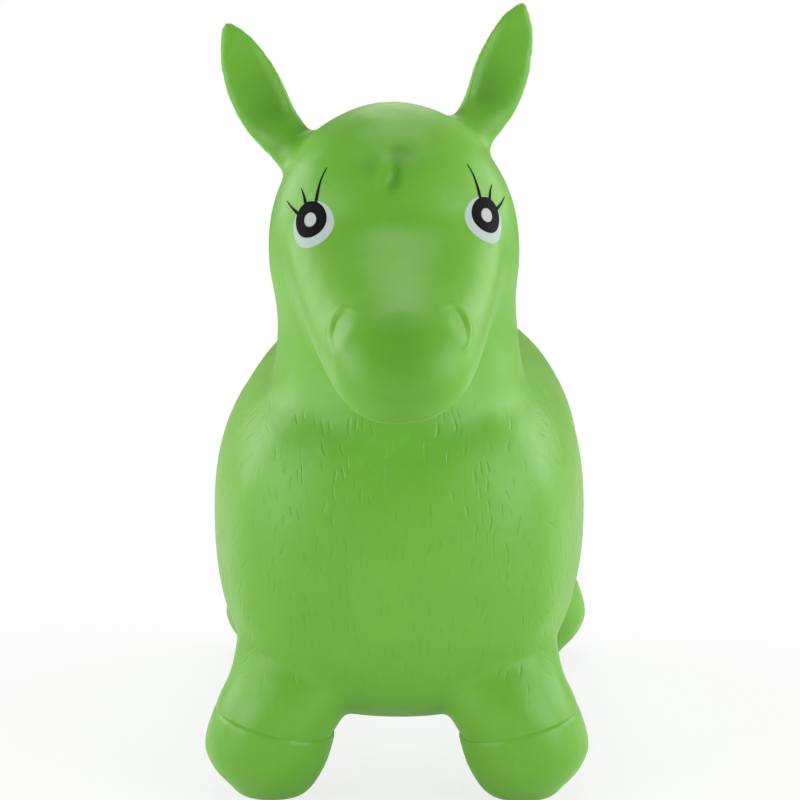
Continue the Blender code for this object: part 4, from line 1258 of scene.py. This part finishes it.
def plug_material():
    """Cream moulded plastic with a faint sink mark's unevenness."""
    shader = Shader("plug", PLUG_ROUGHNESS)
    cloud = shader.between(shader.noise(PLUG_CLOUD_SCALE, FINE_DETAIL), *PLUG_CLOUD_SHARES)
    grain = shader.bumped(shader.noise(PLUG_GRAIN_SCALE), GRAIN_DEPTH)
    shader.set(Base_Color=shader.mixed(cloud, CREAM, CREAM_DARK), Normal=grain)
    return shader.material


def dress(obj, material):
    obj.data.materials.clear()
    obj.data.materials.append(material)


def make_camera():
    """The photograph's view: from the front, a little above, with a long lens."""
    azimuth, elevation = math.radians(CAMERA_AZIMUTH), math.radians(CAMERA_ELEVATION)
    level = math.cos(elevation)
    out = Vector((math.sin(azimuth) * level, -math.cos(azimuth) * level, math.sin(elevation)))
    data = bpy.data.cameras.new("camera")
    data.lens = data.sensor_width * CAMERA_FOCAL_PIXELS / IMAGE_PIXELS
    data.shift_x = (IMAGE_PIXELS / 2 - TARGET_PIXEL[0]) / IMAGE_PIXELS
    data.shift_y = (TARGET_PIXEL[1] - IMAGE_PIXELS / 2) / IMAGE_PIXELS
    camera = add_object("camera", data)
    camera.location = Vector((0, 0, TARGET_HEIGHT)) + out * CAMERA_DISTANCE
    camera.rotation_euler = out.to_track_quat("Z", "Y").to_euler()
    bpy.context.scene.camera = camera


def make_lamps():
    """Broad soft lamps, all aimed at the horse."""
    for name, place, size, power in LAMPS:
        data = bpy.data.lights.new(name, "AREA")
        data.shape = "ELLIPSE"
        data.size, data.size_y = size
        data.energy = power
        lamp = add_object(name, data)
        lamp.location = place
        aim = Vector((0, 0, TARGET_HEIGHT)) - lamp.location
        lamp.rotation_euler = aim.to_track_quat("-Z", "Y").to_euler()


def make_world():
    """Faint light from all round, and a white backdrop for the camera alone."""
    world = bpy.data.worlds.new("studio")
    bpy.context.scene.world = world
    world.use_nodes = True
    tree = world.node_tree
    back = tree.nodes["Background"]
    seen = tree.nodes.new("ShaderNodeBackground")
    for node in (back, seen):
        node.inputs["Color"].default_value = (1, 1, 1, 1)
    back.inputs["Strength"].default_value = WORLD_STRENGTH
    path = tree.nodes.new("ShaderNodeLightPath")
    pick = tree.nodes.new("ShaderNodeMixShader")
    sources = (path.outputs["Is Camera Ray"], back.outputs[0], seen.outputs[0])
    for socket, source in zip(pick.inputs, sources):
        tree.links.new(source, socket)
    tree.links.new(pick.outputs[0], tree.nodes["World Output"].inputs["Surface"])


def floor_material():
    """A pale floor that keeps the shadow near the horse and fades to white further out."""
    shader = Shader("floor", FLOOR_ROUGHNESS)
    shader.set(Base_Color=FLOOR_COLOUR, Specular_IOR_Level=FLOOR_SPECULAR)
    away = shader.sum_of("VectorMath", "LENGTH", shader.place)["Value"]
    far = shader.math("MAXIMUM", shader.between(away, *FLOOR_FADE), FLOOR_GLOW)
    path = shader.add("LightPath")
    white = shader.add("Emission", Strength=1.0)
    share = shader.math("MULTIPLY", far, path.outputs["Is Camera Ray"])
    pick = shader.add("MixShader")
    for socket, source in zip(pick.inputs, (share, shader.main.outputs[0], white.outputs[0])):
        shader.put(socket, source)
    shader.put(shader.tree.nodes["Material Output"].inputs["Surface"], pick.outputs[0])
    return shader.material


def make_floor():
    mesh = bpy.data.meshes.new("floor")
    half = FLOOR_SIZE / 2
    corners = [(x * half, y * half, 0) for x, y in ((-1, -1), (1, -1), (1, 1), (-1, 1))]
    mesh.from_pydata(corners, [], [(0, 1, 2, 3)])
    floor = add_object("floor", mesh)
    dress(floor, floor_material())
    floor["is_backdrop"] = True


def place_skin(skin, green):
    """The body on the horse, and four legs between the horse and its hooves."""
    body, *legs = parted(skin)
    dress(body, green)
    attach(body, "horse")
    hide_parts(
        "trunk_skin", "neck_skin", "head_skin", "left_ear", "right_ear", "mane", "forelock", "tail"
    )
    for leg, (name, sign, _, _) in zip(legs, leg_places()):
        dress(leg, green)
        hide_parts(f"{name}_leg")
        point, normal = root_plane(sign)
        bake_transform(leg)
        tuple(point)


def place_hooves(green):
    for name, sign, x, y in leg_places():
        hoof = make_hoof(name, sign, x, y)
        mark_hair(hoof.data)
        dress(hoof, green)
        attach(hoof, "hooves")
        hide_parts(f"{name}_hoof")


def place_eyes(tree):
    inks = {
        "white": (ink_material("eye_white", WHITE), "eye_white"),
        "iris": (ink_material("eye_black", BLACK), "eye_black"),
        "glint": (ink_material("eye_light", LIGHT), "eye_light"),
    }
    for side in SIDES:
        for piece in make_eye(tree, side):
            kind = piece.name.split("_")[1]
            material, slot = inks.get(kind, inks["iris"])
            dress(piece, material)
            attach(piece, "horse")
            node = f"{side}_eye_{kind}" if kind in inks else f"{side}_lash_{kind}"
            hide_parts(node)


def main():
    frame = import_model()
    cad_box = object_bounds()
    make_camera()
    skin = make_skin()
    tree = surface_tree(skin)
    mark_hair(skin.data)
    green = skin_material()
    place_skin(skin, green)
    place_hooves(green)
    place_eyes(tree)
    dress(frame["nodes"]["valve_seat"], green)
    dress(frame["nodes"]["air_plug"], plug_material())
    make_lamps()
    make_world()
    make_floor()
    bpy.context.scene.view_settings.view_transform = "Standard"
    sizes = {
        name: [list(corner) for corner in box] for name, box in (("cad", cad_box), ("visual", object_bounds()))
    }


main()
